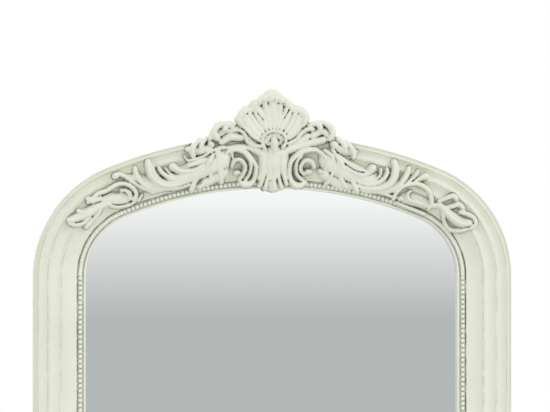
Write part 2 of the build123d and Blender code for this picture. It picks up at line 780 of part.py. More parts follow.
spray_right_strokes = {
    "finger_1": [
        (81, 6, 11, 13), (83, 7, 11, 13),
    ],
    "finger_2": [
        (85, -2, 8, 8), (93, 3, 9, 11), (97, 9, 9, 13), (99, 14, 7, 12),
    ],
    "finger_3": [
        (97, 1, 8, 8), (104, 6, 9, 11), (109, 12, 9, 13), (111, 18, 8, 12),
    ],
    "wash": [
        (86, 9, 11, 6), (98, 11, 13, 6), (111, 11, 8, 5),
    ],
    "base": [
        (80, 27, 32, 8), (99, 34, 29, 8), (121, 39, 25, 7), (143, 41, 23, 7), (168, 41, 16, 6),
    ],
    "base_low": [
        (77, 48, 16, 6), (94, 53, 16, 6), (113, 56, 13, 6),
    ],
    "strand_1": [
        (70, 16, 7, 11), (81, 22, 7, 12), (86, 34, 7, 12), (85, 48, 7, 12), (80, 59, 7, 11),
    ],
    "strand_2": [
        (81, 14, 7, 10), (90, 26, 7, 12), (96, 40, 8, 13), (101, 51, 9, 13), (109, 58, 10, 13),
    ],
    "petal_a": [
        (89, 22, 7, 12), (96, 31, 11, 15), (102, 41, 7, 12),
    ],
    "petal_b": [
        (114, 46, 5, 10), (121, 54, 9, 14), (127, 61, 8, 14),
    ],
    "leaf_0": [
        (89, 20, 7, 10), (104, 27, 8, 12), (119, 32, 8, 12), (131, 33, 5, 11),
    ],
    "leaf_1": [
        (101, 33, 7, 11), (118, 39, 8, 13), (132, 38, 9, 14), (140, 28, 13, 15),
    ],
    "leaf_1_hook": [
        (127, 46, 3, 9), (143, 44, 5, 10), (153, 35, 5, 11), (152, 26, 5, 10),
    ],
    "leaf_2": [
        (113, 45, 5, 10), (131, 49, 7, 12), (148, 47, 8, 13), (159, 38, 8, 13), (162, 28, 7, 12),
        (160, 23, 5, 10),
    ],
    "leaf_3": [
        (116, 50, 5, 10), (133, 55, 8, 12), (154, 52, 11, 14), (168, 43, 13, 15), (173, 32, 13, 15),
        (172, 20, 12, 14), (167, 12, 9, 12),
    ],
    "leaf_4": [
        (159, 55, 5, 9), (175, 48, 8, 11), (185, 36, 9, 12), (189, 23, 9, 12), (189, 14, 7, 11),
    ],
    "leaf_5": [
        (170, 54, 5, 8), (186, 43, 6, 9), (196, 29, 6, 10), (201, 19, 7, 10), (202, 13, 5, 9),
    ],
    "leaf_5_ball": [
        (199, 33, 5, 9), (207, 23, 7, 11), (214, 17, 11, 13),
    ],
    "leaf_low": [
        (119, 56, 5, 8), (141, 59, 5, 9), (161, 56, 5, 9), (180, 56, 5, 8),
    ],
    "spiral_rib": [
        (184, 58, 6, 9), (184, 50, 7, 11), (189, 40, 7, 12), (198, 33, 7, 12), (210, 29, 7, 12),
        (223, 31, 7, 12), (232, 37, 7, 12), (240, 46, 7, 12), (240, 55, 5, 10),
    ],
    "spiral_curl": [
        (203, 41, 4, 9), (200, 47, 6, 11), (205, 53, 8, 13), (215, 52, 9, 13), (226, 52, 8, 12),
    ],
    "spiral_edge": [
        (190, 62, 5, 8), (204, 63, 6, 9), (220, 63, 6, 9), (237, 63, 6, 9),
    ],
    "spiral_floor": [
        (200, 52, 16, 4), (214, 49, 19, 4), (228, 49, 16, 4),
    ],
    "spiral_ball": [
        (193, 55, 8, 12), (195, 55, 8, 12),
    ],
    "stem": [
        (239, 50, 8, 9), (249, 46, 8, 10), (259, 42, 8, 10),
    ],
    "tail_lobe_1": [
        (251, 38, 7, 9), (258, 31, 7, 12), (265, 23, 8, 12), (272, 24, 7, 11),
    ],
    "tail_lobe_2": [
        (268, 40, 7, 9), (275, 34, 8, 12), (281, 27, 8, 12), (290, 27, 7, 11),
    ],
    "tail_body": [
        (257, 43, 8, 10), (272, 44, 12, 12), (289, 44, 15, 13), (306, 41, 15, 13), (315, 34, 12, 13),
    ],
    "tail_rim": [
        (292, 33, 7, 11), (303, 28, 7, 13), (314, 25, 7, 14), (323, 28, 7, 13), (325, 36, 6, 12),
    ],
    "tail_edge": [
        (270, 50, 5, 9), (286, 57, 6, 10), (304, 58, 7, 10), (317, 50, 7, 10), (323, 40, 5, 10),
    ],
}

crest = carving(crest_strokes)
spray_left = carving(spray_left_strokes).cut(crest)
spray_left = sorted(spray_left.solids(), key=lambda s: s.volume)[-1]
spray_right = carving(spray_right_strokes).cut(crest)
spray_right = sorted(spray_right.solids(), key=lambda s: s.volume)[-1]
save(crest, "shell_crest")
save(spray_left, "leaf_spray_left")
save(spray_right, "leaf_spray_right")

# Posts: a block at the foot and one at the pivot, with turned lengths between and above
pivot_block_bottom = pivot_z - pivot_block_height / 2
pivot_block_top = pivot_z + pivot_block_height / 2
neck_top = pivot_block_top + post_neck_height
block_radius = post_width / 2


def turned(points, x):
    """Turn a solid about the post's own line from a list of radius and height."""
    edges = [Line((0, 0, points[0][1]), (points[0][0], 0, points[0][1]))]
    for near, far in zip(points, points[1:]):
        start = (near[0], 0, near[1])
        end = (far[0], 0, far[1])
        if len(far) == 3:
            middle = ((near[0] + far[0]) / 2 + far[2], 0, (near[1] + far[1]) / 2)
            edges.append(ThreePointArc(start, middle, end))
        else:
            edges.append(Line(start, end))
    edges.append(Line((points[-1][0], 0, points[-1][1]), (0, 0, points[-1][1])))
    edges.append(Line((0, 0, points[-1][1]), (0, 0, points[0][1])))
    return Pos(x, 0, 0) * revolve(Face(Wire(edges)), Axis.Z, 360)


shaft_length = pivot_block_bottom - foot_block_top_z
shaft_low = foot_block_top_z
shaft_high = pivot_block_bottom
shaft_points = [
    (block_radius - 2, shaft_low - 1),
    (block_radius - 2, shaft_low + 4),
    (block_radius - 7, shaft_low + 12, -1.5),
    (block_radius - 7, shaft_low + 16),
    (block_radius - 7, shaft_low + 30, 5.0),
    (block_radius - 9, shaft_low + 34),
    (block_radius - 1, shaft_low + 110, 3.0),
    (block_radius - 10, shaft_low + 220, 1.5),
    (block_radius - 11, shaft_high - 90, 0.6),
    (block_radius - 6, shaft_high - 84),
    (block_radius - 6, shaft_high - 78),
    (block_radius - 11, shaft_high - 70, -1.0),
    (block_radius - 11, shaft_high - 48, 5.5),
    (block_radius - 10, shaft_high - 42),
    (block_radius - 2, shaft_high - 5, 2.0),
    (block_radius - 2, shaft_high + 1),
]
neck_points = [
    (block_radius - 2, pivot_block_top - 1),
    (block_radius - 2, pivot_block_top + 5),
    (block_radius - 10, pivot_block_top + 14, -1.5),
    (block_radius - 10, pivot_block_top + 17),
    (block_radius - 5, neck_top - 6, 2.0),
    (block_radius - 5, neck_top),
]
foot_block_height = foot_block_top_z - post_bottom_z
foot_block = Box(post_width, post_width, foot_block_height)
foot_block = chamfer(foot_block.edges().group_by(Axis.Z)[0], 3.0)
foot_block = Pos(post_x, 0, post_bottom_z + foot_block_height / 2) * foot_block
pivot_block = Pos(post_x, 0, pivot_z) * Box(post_width, post_width, pivot_block_height)
post = foot_block + pivot_block + turned(shaft_points, post_x) + turned(neck_points, post_x)

# Feet: one cabriole foot to the front and one to the back of each post, tenoned into the block
near = post_width / 2
foot_edges = [
    Line((near, 96), (near, 212)),
    ThreePointArc((near, 212), (62, 148), (128, 114)),
    ThreePointArc((128, 114), (177, 95), (213, 60)),
    ThreePointArc((213, 60), (232, 44), (250, 46)),
    ThreePointArc((250, 46), (foot_reach, 30), (252, glide_height)),
    Line((252, glide_height), (222, glide_height)),
    ThreePointArc((222, glide_height), (178, 52), (118, 74)),
    ThreePointArc((118, 74), (62, 80), (near, 96)),
]
foot_face = Face(Wire([edge for edge in foot_edges]))
foot_plane = Plane(origin=(post_x - foot_thickness / 2, 0, 0), x_dir=(0, -1, 0), z_dir=(-1, 0, 0))
foot = extrude(foot_plane * foot_face, amount=foot_thickness, dir=(1, 0, 0))
tenon_height = foot_tenon_top_z - foot_tenon_bottom_z
tenon_centre_z = (foot_tenon_top_z + foot_tenon_bottom_z) / 2
foot_tenon = Pos(post_x, -near + foot_tenon_length / 2, tenon_centre_z) * Box(
    foot_tenon_thickness, foot_tenon_length, tenon_height
)
foot_mortise = Pos(post_x, -near + foot_tenon_length / 2, tenon_centre_z) * Box(
    foot_tenon_thickness + 2 * joint_clearance,
    foot_tenon_length + 2 * joint_clearance,
    tenon_height + 2 * joint_clearance,
)
foot = foot + foot_tenon
post = post - foot_mortise - front_back(foot_mortise)

# Pegs through post and tenon
peg_y = -near + foot_tenon_length / 2
peg_heights = (foot_tenon_bottom_z + 0.2 * tenon_height, foot_tenon_top_z - 0.2 * tenon_height)
pegs = []
for z in peg_heights:
    peg = round_x(peg_radius, post_x, post_outer_x, peg_y, z)
    peg = peg + round_x(peg_radius, post_inner_x + 2, post_x, peg_y, z)
    hole = round_x(peg_radius + press_clearance, post_inner_x + 1.7, post_outer_x + 1, peg_y, z)
    foot = foot - hole
    post = post - hole - front_back(hole)
    pegs.append(peg)
    pegs.append(front_back(peg))
save(Compound(children=pegs + [flip(p) for p in pegs]), "foot_pegs")

# Glides under the toes
glide = Pos(post_x, -glide_offset, glide_height / 2) * Cylinder(glide_radius, glide_height)
glide = chamfer(glide.edges().group_by(Axis.Z)[0], 1.0)
glide_pin = Pos(post_x, -glide_offset, glide_height + glide_pin_length / 2)
glide = glide + glide_pin * Cylinder(glide_pin_radius, glide_pin_length)
foot = foot - glide_pin * Cylinder(glide_pin_radius + screw_clearance, glide_pin_length + 0.4)
glides = [glide, front_back(glide)]
save(Compound(children=glides + [flip(g) for g in glides]), "foot_glides")
save(foot, "foot_front_right")
save(flip(foot), "foot_front_left")
save(front_back(foot), "foot_back_right")
save(flip(front_back(foot)), "foot_back_left")

# Stretcher between the posts, turned, with square ends
block = stretcher_block
end_block = Pos(post_inner_x - stretcher_block_length / 2, 0, stretcher_z) * Box(
    stretcher_block_length, block, block
)
rail_end = post_inner_x - stretcher_block_length
r = stretcher_radius
rail_points = [
    (0.0, r),
    (14.0, r),
    (20.0, r - 6),
    (rail_end - 70, r - 6),
    (rail_end - 64, r),
    (rail_end - 54, r),
    (rail_end - 48, r - 5),
    (rail_end - 12, r - 2),
    (rail_end - 6, r),
    (rail_end + 1, r),
]
rail_edges = [Line((0, 0, stretcher_z), (0, 0, stretcher_z + r))]
for index, (near_point, far_point) in enumerate(zip(rail_points, rail_points[1:])):
    start = (near_point[0], 0, stretcher_z + near_point[1])
    end = (far_point[0], 0, stretcher_z + far_point[1])
    if index == 2:
        middle = ((start[0] + end[0]) / 2, 0, stretcher_z + r - 1)
        rail_edges.append(ThreePointArc(start, middle, end))
    else:
        rail_edges.append(Line(start, end))
rail_edges.append(Line((rail_end + 1, 0, stretcher_z + r), (rail_end + 1, 0, stretcher_z)))
rail_edges.append(Line((rail_end + 1, 0, stretcher_z), (0, 0, stretcher_z)))
turned_rail = revolve(Face(Wire(rail_edges)), Axis((0, 0, stretcher_z), (1, 0, 0)), 360)
stretcher = turned_rail + flip(turned_rail) + end_block + flip(end_block)

# Bolts, barrel nuts, dowels and cover caps at the stretcher's ends
head_x = post_outer_x - bolt_recess_depth
nut_x = post_inner_x - barrel_nut_offset
bolt_tip = nut_x - barrel_nut_radius - 2.0
bolt = round_x(bolt_radius, bolt_tip, head_x + 0.5, 0, stretcher_z)
bolt = bolt + round_x(bolt_head_radius, head_x, head_x + bolt_head_height, 0, stretcher_z)
bolt_hole = round_x(bolt_radius + bolt_hole_clearance, bolt_tip - 1, head_x + 1, 0, stretcher_z)
recess = round_x(bolt_head_radius + 1.0, head_x, post_outer_x + 1, 0, stretcher_z)
nut = Pos(nut_x, 0, stretcher_z) * Cylinder(barrel_nut_radius, barrel_nut_length)
nut_hole = Pos(nut_x, 0, stretcher_z - 3) * Cylinder(
    barrel_nut_radius + screw_clearance, barrel_nut_length + 6.4
)
nut = nut - round_x(bolt_radius + screw_clearance, bolt_tip - 1, head_x, 0, stretcher_z)
post = post - bolt_hole - recess
stretcher = stretcher - bolt_hole - flip(bolt_hole) - nut_hole - flip(nut_hole)
dowels = []
for z in (stretcher_z - dowel_offset, stretcher_z + dowel_offset):
    dowel = round_x(dowel_radius, post_inner_x - dowel_length / 2, post_inner_x + dowel_length / 2, 0, z)
    hole = round_x(
        dowel_radius + press_clearance,
        post_inner_x - dowel_length / 2 - 0.5,
        post_inner_x + dowel_length / 2 + 0.5,
        0,
        z,
    )
    post = post - hole
    stretcher = stretcher - hole - flip(hole)
    dowels.append(dowel)
cap = round_x(cap_radius, post_outer_x, post_outer_x + cap_thickness, 0, stretcher_z)
cap = chamfer(cap.edges().group_by(Axis.X)[-1], 1.2)
cap_plug_end = head_x + bolt_head_height + 0.5
cap = cap + round_x(bolt_head_radius + 1.0 - press_clearance, cap_plug_end, post_outer_x + 0.5, 0, stretcher_z)
save(Compound(children=[bolt, flip(bolt)]), "stretcher_bolts")
save(Compound(children=[nut, flip(nut)]), "stretcher_barrel_nuts")
save(Compound(children=dowels + [flip(d) for d in dowels]), "stretcher_dowels")
save(Compound(children=[cap, flip(cap)]), "stretcher_bolt_caps")
save(stretcher, "stretcher")

# Finials on the post tops, held by a turned dowel
finial_dowel_radius = 6.0
finial_dowel_length = 18.0
top = neck_top
finial_points = [
    (15.0, top),
    (17.0, top + 6, 1.5),
    (9.0, top + 10),
    (8.0, top + 16, -1.0),
    (19.0, top + 40, 2.5),
    (17.0, top + 50, 1.5),
    (10.0, top + 53),
    (8.5, top + 58, -0.5),
    (0.6, top + finial_height, 4.5),
]
finial = turned(finial_points, post_x)
finial_dowel = Pos(post_x, 0, top - finial_dowel_length / 2) * Cylinder(finial_dowel_radius, finial_dowel_length)
finial = finial + finial_dowel
dowel_hole = Pos(post_x, 0, top - finial_dowel_length / 2) * Cylinder(
    finial_dowel_radius + press_clearance, finial_dowel_length + 0.6
)
post = post - dowel_hole
save(finial, "finial_right")
save(flip(finial), "finial_left")

# Pivot bushes and leather friction washers
bush_hole = round_x(bush_radius + press_clearance, post_inner_x - 1, post_outer_x + 1, 0, pivot_z)
post = post - bush_hole
bush = round_x(bush_radius, post_inner_x, post_outer_x, 0, pivot_z)
bush = bush - round_x(shank_radius + running_clearance, post_inner_x - 1, post_outer_x + 1, 0, pivot_z)
leather = round_x(leather_radius, collar_x, post_inner_x, 0, pivot_z)
leather = leather - round_x(shank_radius + loose_clearance, collar_x - 1, post_inner_x + 1, 0, pivot_z)
save(bush, "pivot_bush_right")
save(flip(bush), "pivot_bush_left")
save(leather, "friction_washer_right")
save(flip(leather), "friction_washer_left")
save(post, "post_right")
save(flip(post), "post_left")

# Clamp washers and knobs outside the posts
clamp_washer = round_x(clamp_washer_radius, post_outer_x, washer_x, 0, pivot_z)
clamp_washer = clamp_washer - round_x(
    shank_radius + loose_clearance, post_outer_x - 1, washer_x + 1, 0, pivot_z
)
save(clamp_washer, "clamp_washer_right")
save(flip(clamp_washer), "clamp_washer_left")
insert_end = washer_x + insert_length
insert = round_x(insert_radius, washer_x, insert_end, 0, pivot_z)
insert = insert - round_x(thread_radius + running_clearance, washer_x - 1, insert_end + 1, 0, pivot_z)
knob_edges = [
    Line((washer_x, 0, 0), (washer_x, 0, 13)),
    ThreePointArc((washer_x, 0, 13), (washer_x + 5, 0, 11), (washer_x + 10, 0, 14)),
    ThreePointArc(
        (washer_x + 10, 0, 14),
        (washer_x + 0.62 * knob_length, 0, knob_radius),
        (washer_x + knob_length - 4, 0, 13),
    ),
    ThreePointArc(
        (washer_x + knob_length - 4, 0, 13),
        (washer_x + knob_length - 1, 0, 9),
        (washer_x + knob_length, 0, 4),
    ),
    Line((washer_x + knob_length, 0, 4), (washer_x + knob_length, 0, 0)),
    Line((washer_x + knob_length, 0, 0), (washer_x, 0, 0)),
]
knob = Pos(0, 0, pivot_z) * revolve(Face(Wire(knob_edges)), Axis.X, 360)
knob = knob - round_x(insert_radius + press_clearance, washer_x - 1, insert_end, 0, pivot_z)
knob = knob - round_x(thread_radius + 1.0, insert_end - 1, insert_end + 4.0, 0, pivot_z)
save(knob, "knob_right")
save(flip(knob), "knob_left")
save(insert, "knob_insert_right")
save(flip(insert), "knob_insert_left")
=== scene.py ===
import math

import bmesh
import bpy
from mathutils import Matrix, Vector, noise
from mathutils.bvhtree import BVHTree
from mathutils.geometry import intersect_point_line


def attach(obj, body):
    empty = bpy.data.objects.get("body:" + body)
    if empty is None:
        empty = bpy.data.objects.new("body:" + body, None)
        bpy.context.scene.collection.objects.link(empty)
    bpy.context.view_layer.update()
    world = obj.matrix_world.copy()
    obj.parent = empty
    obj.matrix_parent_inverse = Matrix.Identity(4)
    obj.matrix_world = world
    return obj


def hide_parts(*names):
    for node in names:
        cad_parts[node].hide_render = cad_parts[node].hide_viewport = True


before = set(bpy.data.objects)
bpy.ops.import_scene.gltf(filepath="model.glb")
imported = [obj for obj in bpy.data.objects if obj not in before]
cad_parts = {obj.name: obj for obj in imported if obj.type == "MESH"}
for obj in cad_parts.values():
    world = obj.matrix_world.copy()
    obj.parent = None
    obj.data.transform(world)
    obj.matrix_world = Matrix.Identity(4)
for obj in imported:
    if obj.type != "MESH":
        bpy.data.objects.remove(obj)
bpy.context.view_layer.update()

# The camera stands in front of the mirror and a little to its left, far enough away that the frame
# is nearly flat to it, and looks at the arch. The picture takes in 733 mm at the frame's front.
MM = 0.001
picture_width = 733.0 * MM
aim = Vector((1.0 * MM, -30.0 * MM, 1644.0 * MM))
camera_place = Vector((-430.0 * MM, -4500.0 * MM, 1600.0 * MM))
camera_data = bpy.data.cameras.new("camera")
camera_data.sensor_width = 36.0
camera_data.lens = 36.0 * (aim - camera_place).length / picture_width
camera_data.clip_start = 0.05
camera_data.clip_end = 400.0
camera = bpy.data.objects.new("camera", camera_data)
camera.location = camera_place
camera.rotation_euler = (aim - camera_place).to_track_quat("-Z", "Y").to_euler()
bpy.context.scene.collection.objects.link(camera)
bpy.context.scene.camera = camera
bpy.context.scene.view_settings.view_transform = "Standard"

# The studio: a pale floor that fades to the white surround, a large soft lamp up to the right, a weak
# one to the left and one behind. The mirror sees a backdrop that darkens evenly from white above to
# grey below.


def colour(red, green, blue):
    """A paint or metal colour, given as it looks on a screen, for a shader."""
    tones = []
    for level in (red, green, blue):
        share = level / 255.0
        tones.append(share / 12.92 if share <= 0.04045 else ((share + 0.055) / 1.055) ** 2.4)
    return (*tones, 1.0)


class Shade:
    """A socket in a material, so that shader sums read as plain expressions."""

    def __init__(self, tree, socket=None):
        self.tree = tree
        self.socket = socket

    def node(self, kind, settings=None, sockets=None, out=0):
        """Add a node with its settings and its sockets' values or links."""
        made = self.tree.nodes.new("ShaderNode" + kind)
        for key, value in (settings or {}).items():
            if key == "stops":
                ramp = made.color_ramp
                while len(ramp.elements) < len(value):
                    ramp.elements.new(0.5)
                for element, (place, tone) in zip(ramp.elements, value):
                    element.position = place
                    element.color = tone
            else:
                setattr(made, key, value)
        for key, value in (sockets or {}).items():
            if isinstance(value, Shade):
                self.tree.links.new(value.socket, made.inputs[key])
            else:
                made.inputs[key].default_value = value
        return Shade(self.tree, made.outputs[out])

    def flat(self, levels):
        """One plain colour, in the shader's own levels."""
        plain = self.node("RGB")
        plain.socket.default_value = levels
        return plain

    def tone(self, red, green, blue):
        """One plain colour, as it looks on a screen."""
        return self.flat(colour(red, green, blue))

    def sums(self, operation, first, second):
        return self.node("Math", {"operation": operation}, {0: first, 1: second})

    def __add__(self, other):
        return self.sums("ADD", self, other)

    def __radd__(self, other):
        return self.sums("ADD", other, self)

    def __sub__(self, other):
        return self.sums("SUBTRACT", self, other)

    def __rsub__(self, other):
        return self.sums("SUBTRACT", other, self)

    def __mul__(self, other):
        return self.sums("MULTIPLY", self, other)

    def __rmul__(self, other):
        return self.sums("MULTIPLY", other, self)

    def __abs__(self):
        return self.sums("ABSOLUTE", self, 0.0)

    def rise(self, low, high):
        """0 below low, 1 above high, and a smooth step between. It falls if low is above high."""
        return self.node(
            "MapRange",
            {"interpolation_type": "SMOOTHSTEP"},
            {"Value": self, "From Min": low, "From Max": high},
        )

    def blend(self, other, share):
        """Mix this colour towards another by a share."""
        return self.node(
            "Mix", {"data_type": "RGBA"}, {"Factor": share, 6: self, 7: other}, out=2
        )

    def speckle(self, scale, detail=3.0, roughness=0.55):
        """Noise at this position, with scale in patches per metre."""
        return self.node(
            "TexNoise", None, {"Vector": self, "Scale": scale, "Detail": detail, "Roughness": roughness}
        )

    def stretched(self, scale):
        """This position, scaled by axis, for a grain that runs one way."""
        return self.node("Mapping", None, {"Vector": self, "Scale": scale})

    def bump(self, strength, distance):
        """Relief from this height, as a normal."""
        return self.node("Bump", None, {"Strength": strength, "Distance": distance, "Height": self})


def new_material(name):
    """A material with its surface shader, and a Shade that adds nodes to it."""
    material = bpy.data.materials.new(name)
    material.use_nodes = True
    surface = material.node_tree.nodes["Principled BSDF"]
    return material, surface, Shade(material.node_tree)


def finish_surface(shade, surface, **sockets):
    """Set or link the surface's own sockets."""
    for key, value in sockets.items():
        socket = surface.inputs[key.replace("_", " ")]
        if isinstance(value, Shade):
            shade.tree.links.new(value.socket, socket)
        else:
            socket.default_value = value


def dress(piece, material):
    """Give a piece one material."""
    piece.data.materials.clear()
    piece.data.materials.append(material)


floor_reach = 14.0
fade_start = 0.6
fade_end = 3.0
floor_mesh = bmesh.new()
bmesh.ops.create_grid(floor_mesh, x_segments=1, y_segments=1, size=floor_reach)
floor_data = bpy.data.meshes.new("studio_floor")
floor_mesh.to_mesh(floor_data)
floor_mesh.free()
studio_floor = bpy.data.objects.new("studio_floor", floor_data)
bpy.context.scene.collection.objects.link(studio_floor)
floor_material, floor_surface, floor_shade = new_material("studio_floor")
floor_place = floor_shade.node("TexCoord", out=3)
floor_tone = floor_shade.tone(240, 241, 240)
finish_surface(
    floor_shade,
    floor_surface,
    Base_Color=floor_tone.blend(floor_shade.tone(236, 237, 236), floor_place.speckle(0.8)),
    Roughness=0.7,
)
floor_distance = floor_shade.node("VectorMath", {"operation": "LENGTH"}, {0: floor_place}, out=1)
floor_mirrored = floor_shade.node("LightPath", out="Is Glossy Ray")
floor_glow = floor_shade.node(
    "Emission",
    None,
    {"Color": floor_shade.tone(255, 255, 255).blend(floor_shade.tone(181, 187, 187), floor_mirrored)},
)
floor_through = floor_shade.node("LightPath", out="Is Transmission Ray")
floor_seen = floor_shade.node("LightPath", out="Is Camera Ray") + floor_mirrored + floor_through
floor_mixed = floor_shade.node(
    "MixShader",
    None,
    {
        0: floor_seen * floor_distance.rise(fade_start, fade_end),
        1: Shade(floor_shade.tree, floor_surface.outputs[0]),
        2: floor_glow,
    },
)
floor_shade.tree.links.new(
    floor_mixed.socket, floor_shade.tree.nodes["Material Output"].inputs["Surface"]
)
dress(studio_floor, floor_material)

world = bpy.data.worlds.new("studio")
world.use_nodes = True
bpy.context.scene.world = world
sky = Shade(world.node_tree)
sky_height = sky.node("SeparateXYZ", None, {0: sky.node("TexCoord", out=0)}, out=2)
low_sight = -0.0233
high_sight = 0.0128
backdrop = sky.node(
    "ValToRGB",
    {
        "stops": [
            (0.0, colour(183, 187, 187)),
            (0.16, colour(194, 197, 196)),
            (0.52, colour(219, 221, 220)),
            (0.93, colour(246, 248, 247)),
            (1.0, colour(249, 251, 250)),
        ]
    },
    {0: (sky_height - low_sight) * (1.0 / (high_sight - low_sight))},
)
fill_level = 0.94
fill = sky.node("Background", None, {"Color": (1.0, 1.0, 1.0, 1.0), "Strength": fill_level})
seen_in_gloss = sky.node("Background", None, {"Color": backdrop, "Strength": 1.0})
seen_by_eye = sky.node("Background", None, {"Color": (1.0, 1.0, 1.0, 1.0), "Strength": 1.0})
reflected = sky.node(
    "MixShader", None, {0: sky.node("LightPath", out="Is Glossy Ray"), 1: fill, 2: seen_in_gloss}
)
surround = sky.node(
    "MixShader", None, {0: sky.node("LightPath", out="Is Camera Ray"), 1: reflected, 2: seen_by_eye}
)
sky.tree.links.new(surround.socket, sky.tree.nodes["World Output"].inputs[0])


def lamp(name, place, target, size, power):
    """A square soft lamp that looks at a point."""
    data = bpy.data.lights.new(name, "AREA")
    data.shape = "SQUARE"
    data.size = size
    data.energy = power
    item = bpy.data.objects.new(name, data)
    item.location = place
    item.rotation_euler = (Vector(target) - Vector(place)).to_track_quat("-Z", "Y").to_euler()
    bpy.context.scene.collection.objects.link(item)


lamp("key_lamp", (2.6, -2.4, 3.6), (0.0, 0.0, 1.2), size=1.6, power=29.0)
lamp("side_lamp", (-3.2, -3.0, 2.0), (0.0, 0.0, 1.0), size=2.0, power=10.0)
lamp("back_lamp", (-1.5, 3.5, 3.0), (0.0, 0.0, 1.0), size=2.0, power=26.0)

# Frame moulding: softwood, shaped with a rounded rim, two flutes, a wide cove and a raised sight
# edge. The stiles and rail are planed straight and mitred; the arch is three bent lengths. It is
# primed, painted a pale sage ivory and rubbed back along its arrises, with glaze and painted shade
# in the corners beside the beads and where the carvings meet it.
half_width = 320.0
frame_bottom = 190.0
spring_height = 1551.0
arch_rise = 187.0
shoulder_radius = 154.0
moulding_width = 70.0
frame_back = 16.0
rim_front = -30.0
flute_edge = -24.0
ridge_front = -19.5
cove_bed = -10.25
cove_end = -7.0
bead_bed = -4.5
sight_front = -6.0
glass_front = 4.0
glass_thickness = 4.0
glass_rebate = 9.0
board_rebate = 20.0
rebate_ease = 0.05
shoulder_x = half_width - shoulder_radius
crown_drop = (shoulder_x**2 - (arch_rise - shoulder_radius) ** 2) / (2 * (arch_rise - shoulder_radius))
crown_radius = arch_rise + crown_drop
crown_z = spring_height - crown_drop
crown_angle = math.atan2(shoulder_x, crown_drop)
crown_arc = crown_radius * crown_angle
shoulder_angle = math.pi / 2 - crown_angle
arch_half = crown_arc + shoulder_radius * shoulder_angle
arris_angle = math.radians(48.0)


def bow(start, middle, end, steps):
    """Points along the arc through three points, without its last one."""
    ax, ay = start
    bx, by = middle
    cx, cy = end
    turn = 2 * (ax * (by - cy) + bx * (cy - ay) + cx * (ay - by))
    a2 = ax**2 + ay**2
    b2 = bx**2 + by**2
    c2 = cx**2 + cy**2
    x = (a2 * (by - cy) + b2 * (cy - ay) + c2 * (ay - by)) / turn
    y = (a2 * (cx - bx) + b2 * (ax - cx) + c2 * (bx - ax)) / turn
    radius = math.hypot(ax - x, ay - y)
    first = math.atan2(ay - y, ax - x)
    sweep_angle = math.atan2(cy - y, cx - x) - first
    sweep_angle = (sweep_angle + math.pi) % (2 * math.pi) - math.pi
    points = []
    for k in range(steps):
        angle = first + sweep_angle * k / steps
        points.append((x + radius * math.cos(angle), y + radius * math.sin(angle)))
    return points


def moulding_front_run():
    """The moulding's front from its outer edge to its sight edge, as inset and y."""
    run = [(0.0, frame_back), (0.0, -2.0)]
    run += bow((0.0, rim_front + 4.0), (3.25, rim_front), (6.2, rim_front + 2.6), 9)
    run += [(6.2, rim_front + 2.6), (6.7, rim_front + 3.4)]
    run += bow((6.9, rim_front + 4.0), (12.75, rim_front + 8.2), (18.7, flute_edge + 0.2), 9)
    run += [(18.7, flute_edge + 0.2), (19.2, flute_edge - 0.5)]
    run += [(20.0, flute_edge - 0.6), (20.7, flute_edge)]
    run += bow((21.1, flute_edge + 0.6), (28.0, flute_edge + 5.6), (34.6, ridge_front - 0.1), 9)
    run += [(34.6, ridge_front - 0.1), (35.2, ridge_front - 0.7)]
    run += [(36.3, ridge_front - 0.6), (37.0, ridge_front + 0.1)]
    run += bow((37.4, ridge_front + 0.7), (47.75, cove_bed), (58.2, cove_end + 0.2), 12)
    run += [(58.2, cove_end + 0.2), (58.6, bead_bed), (66.9, bead_bed), (67.1, sight_front + 0.3)]
    run += [(67.5, sight_front), (69.4, sight_front)]
    run += [(moulding_width, sight_front + 0.6), (moulding_width, glass_front - rebate_ease)]
    return run


front_run = moulding_front_run()
back_run = [
    (moulding_width - glass_rebate, glass_front - rebate_ease),
    (moulding_width - glass_rebate, glass_front + glass_thickness),
    (moulding_width - board_rebate, glass_front + glass_thickness),
    (moulding_width - board_rebate, frame_back),
]


def moulding_height(inset):
    """How far the moulding's front stands forward of y = 0 at an inset."""
    for (u0, y0), (u1, y1) in zip(front_run[2:], front_run[3:]):
        if u0 <= inset <= u1 and u1 > u0:
            return -(y0 + (y1 - y0) * (inset - u0) / (u1 - u0))
    return -sight_front


def edge_place(x, z):
    """Where a point lies on the frame: along its outer edge from the crown, and in from that edge."""
    side = 1.0 if x >= 0 else -1.0
    x = abs(x)
    turn = math.atan2(x, z - crown_z)
    if z > spring_height - 1e-6 and turn <= crown_angle:
        return side * crown_radius * turn, crown_radius - math.hypot(x, z - crown_z)
    if z > spring_height and x > shoulder_x:
        turn = math.atan2(x - shoulder_x, z - spring_height)
        along = crown_arc + shoulder_radius * (turn - crown_angle)
        return side * along, shoulder_radius - math.hypot(x - shoulder_x, z - spring_height)
    along = arch_half + spring_height - z
    return side * along, min(half_width - x, z - frame_bottom)


def arch_point(along, inset):
    """The x and z of a point given along the outer edge and in from it."""
    side = 1.0 if along >= 0 else -1.0
    distance = abs(along)
    if distance <= crown_arc:
        turn = distance / crown_radius
        reach = crown_radius - inset
        return side * reach * math.sin(turn), crown_z + reach * math.cos(turn)
    turn = crown_angle + (distance - crown_arc) / shoulder_radius
    reach = shoulder_radius - inset
    return side * (shoulder_x + reach * math.sin(turn)), spring_height + reach * math.cos(turn)


def store(piece, name, values):
    """Keep one number for each vertex of a piece, for its material to read."""
    layer = piece.data.attributes.new(name, "FLOAT", "POINT")
    layer.data.foreach_set("value", values)


def piece_from(bm, name, body, slot, *nodes):
    """Make a finished bmesh a piece that rides on a body and stands for CAD nodes."""
    mesh = bpy.data.meshes.new(name)
    bm.to_mesh(mesh)
    bm.free()
    piece = bpy.data.objects.new(name, mesh)
    bpy.context.scene.collection.objects.link(piece)
    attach(piece, body)
    if nodes:
        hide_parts(*nodes)
    return piece


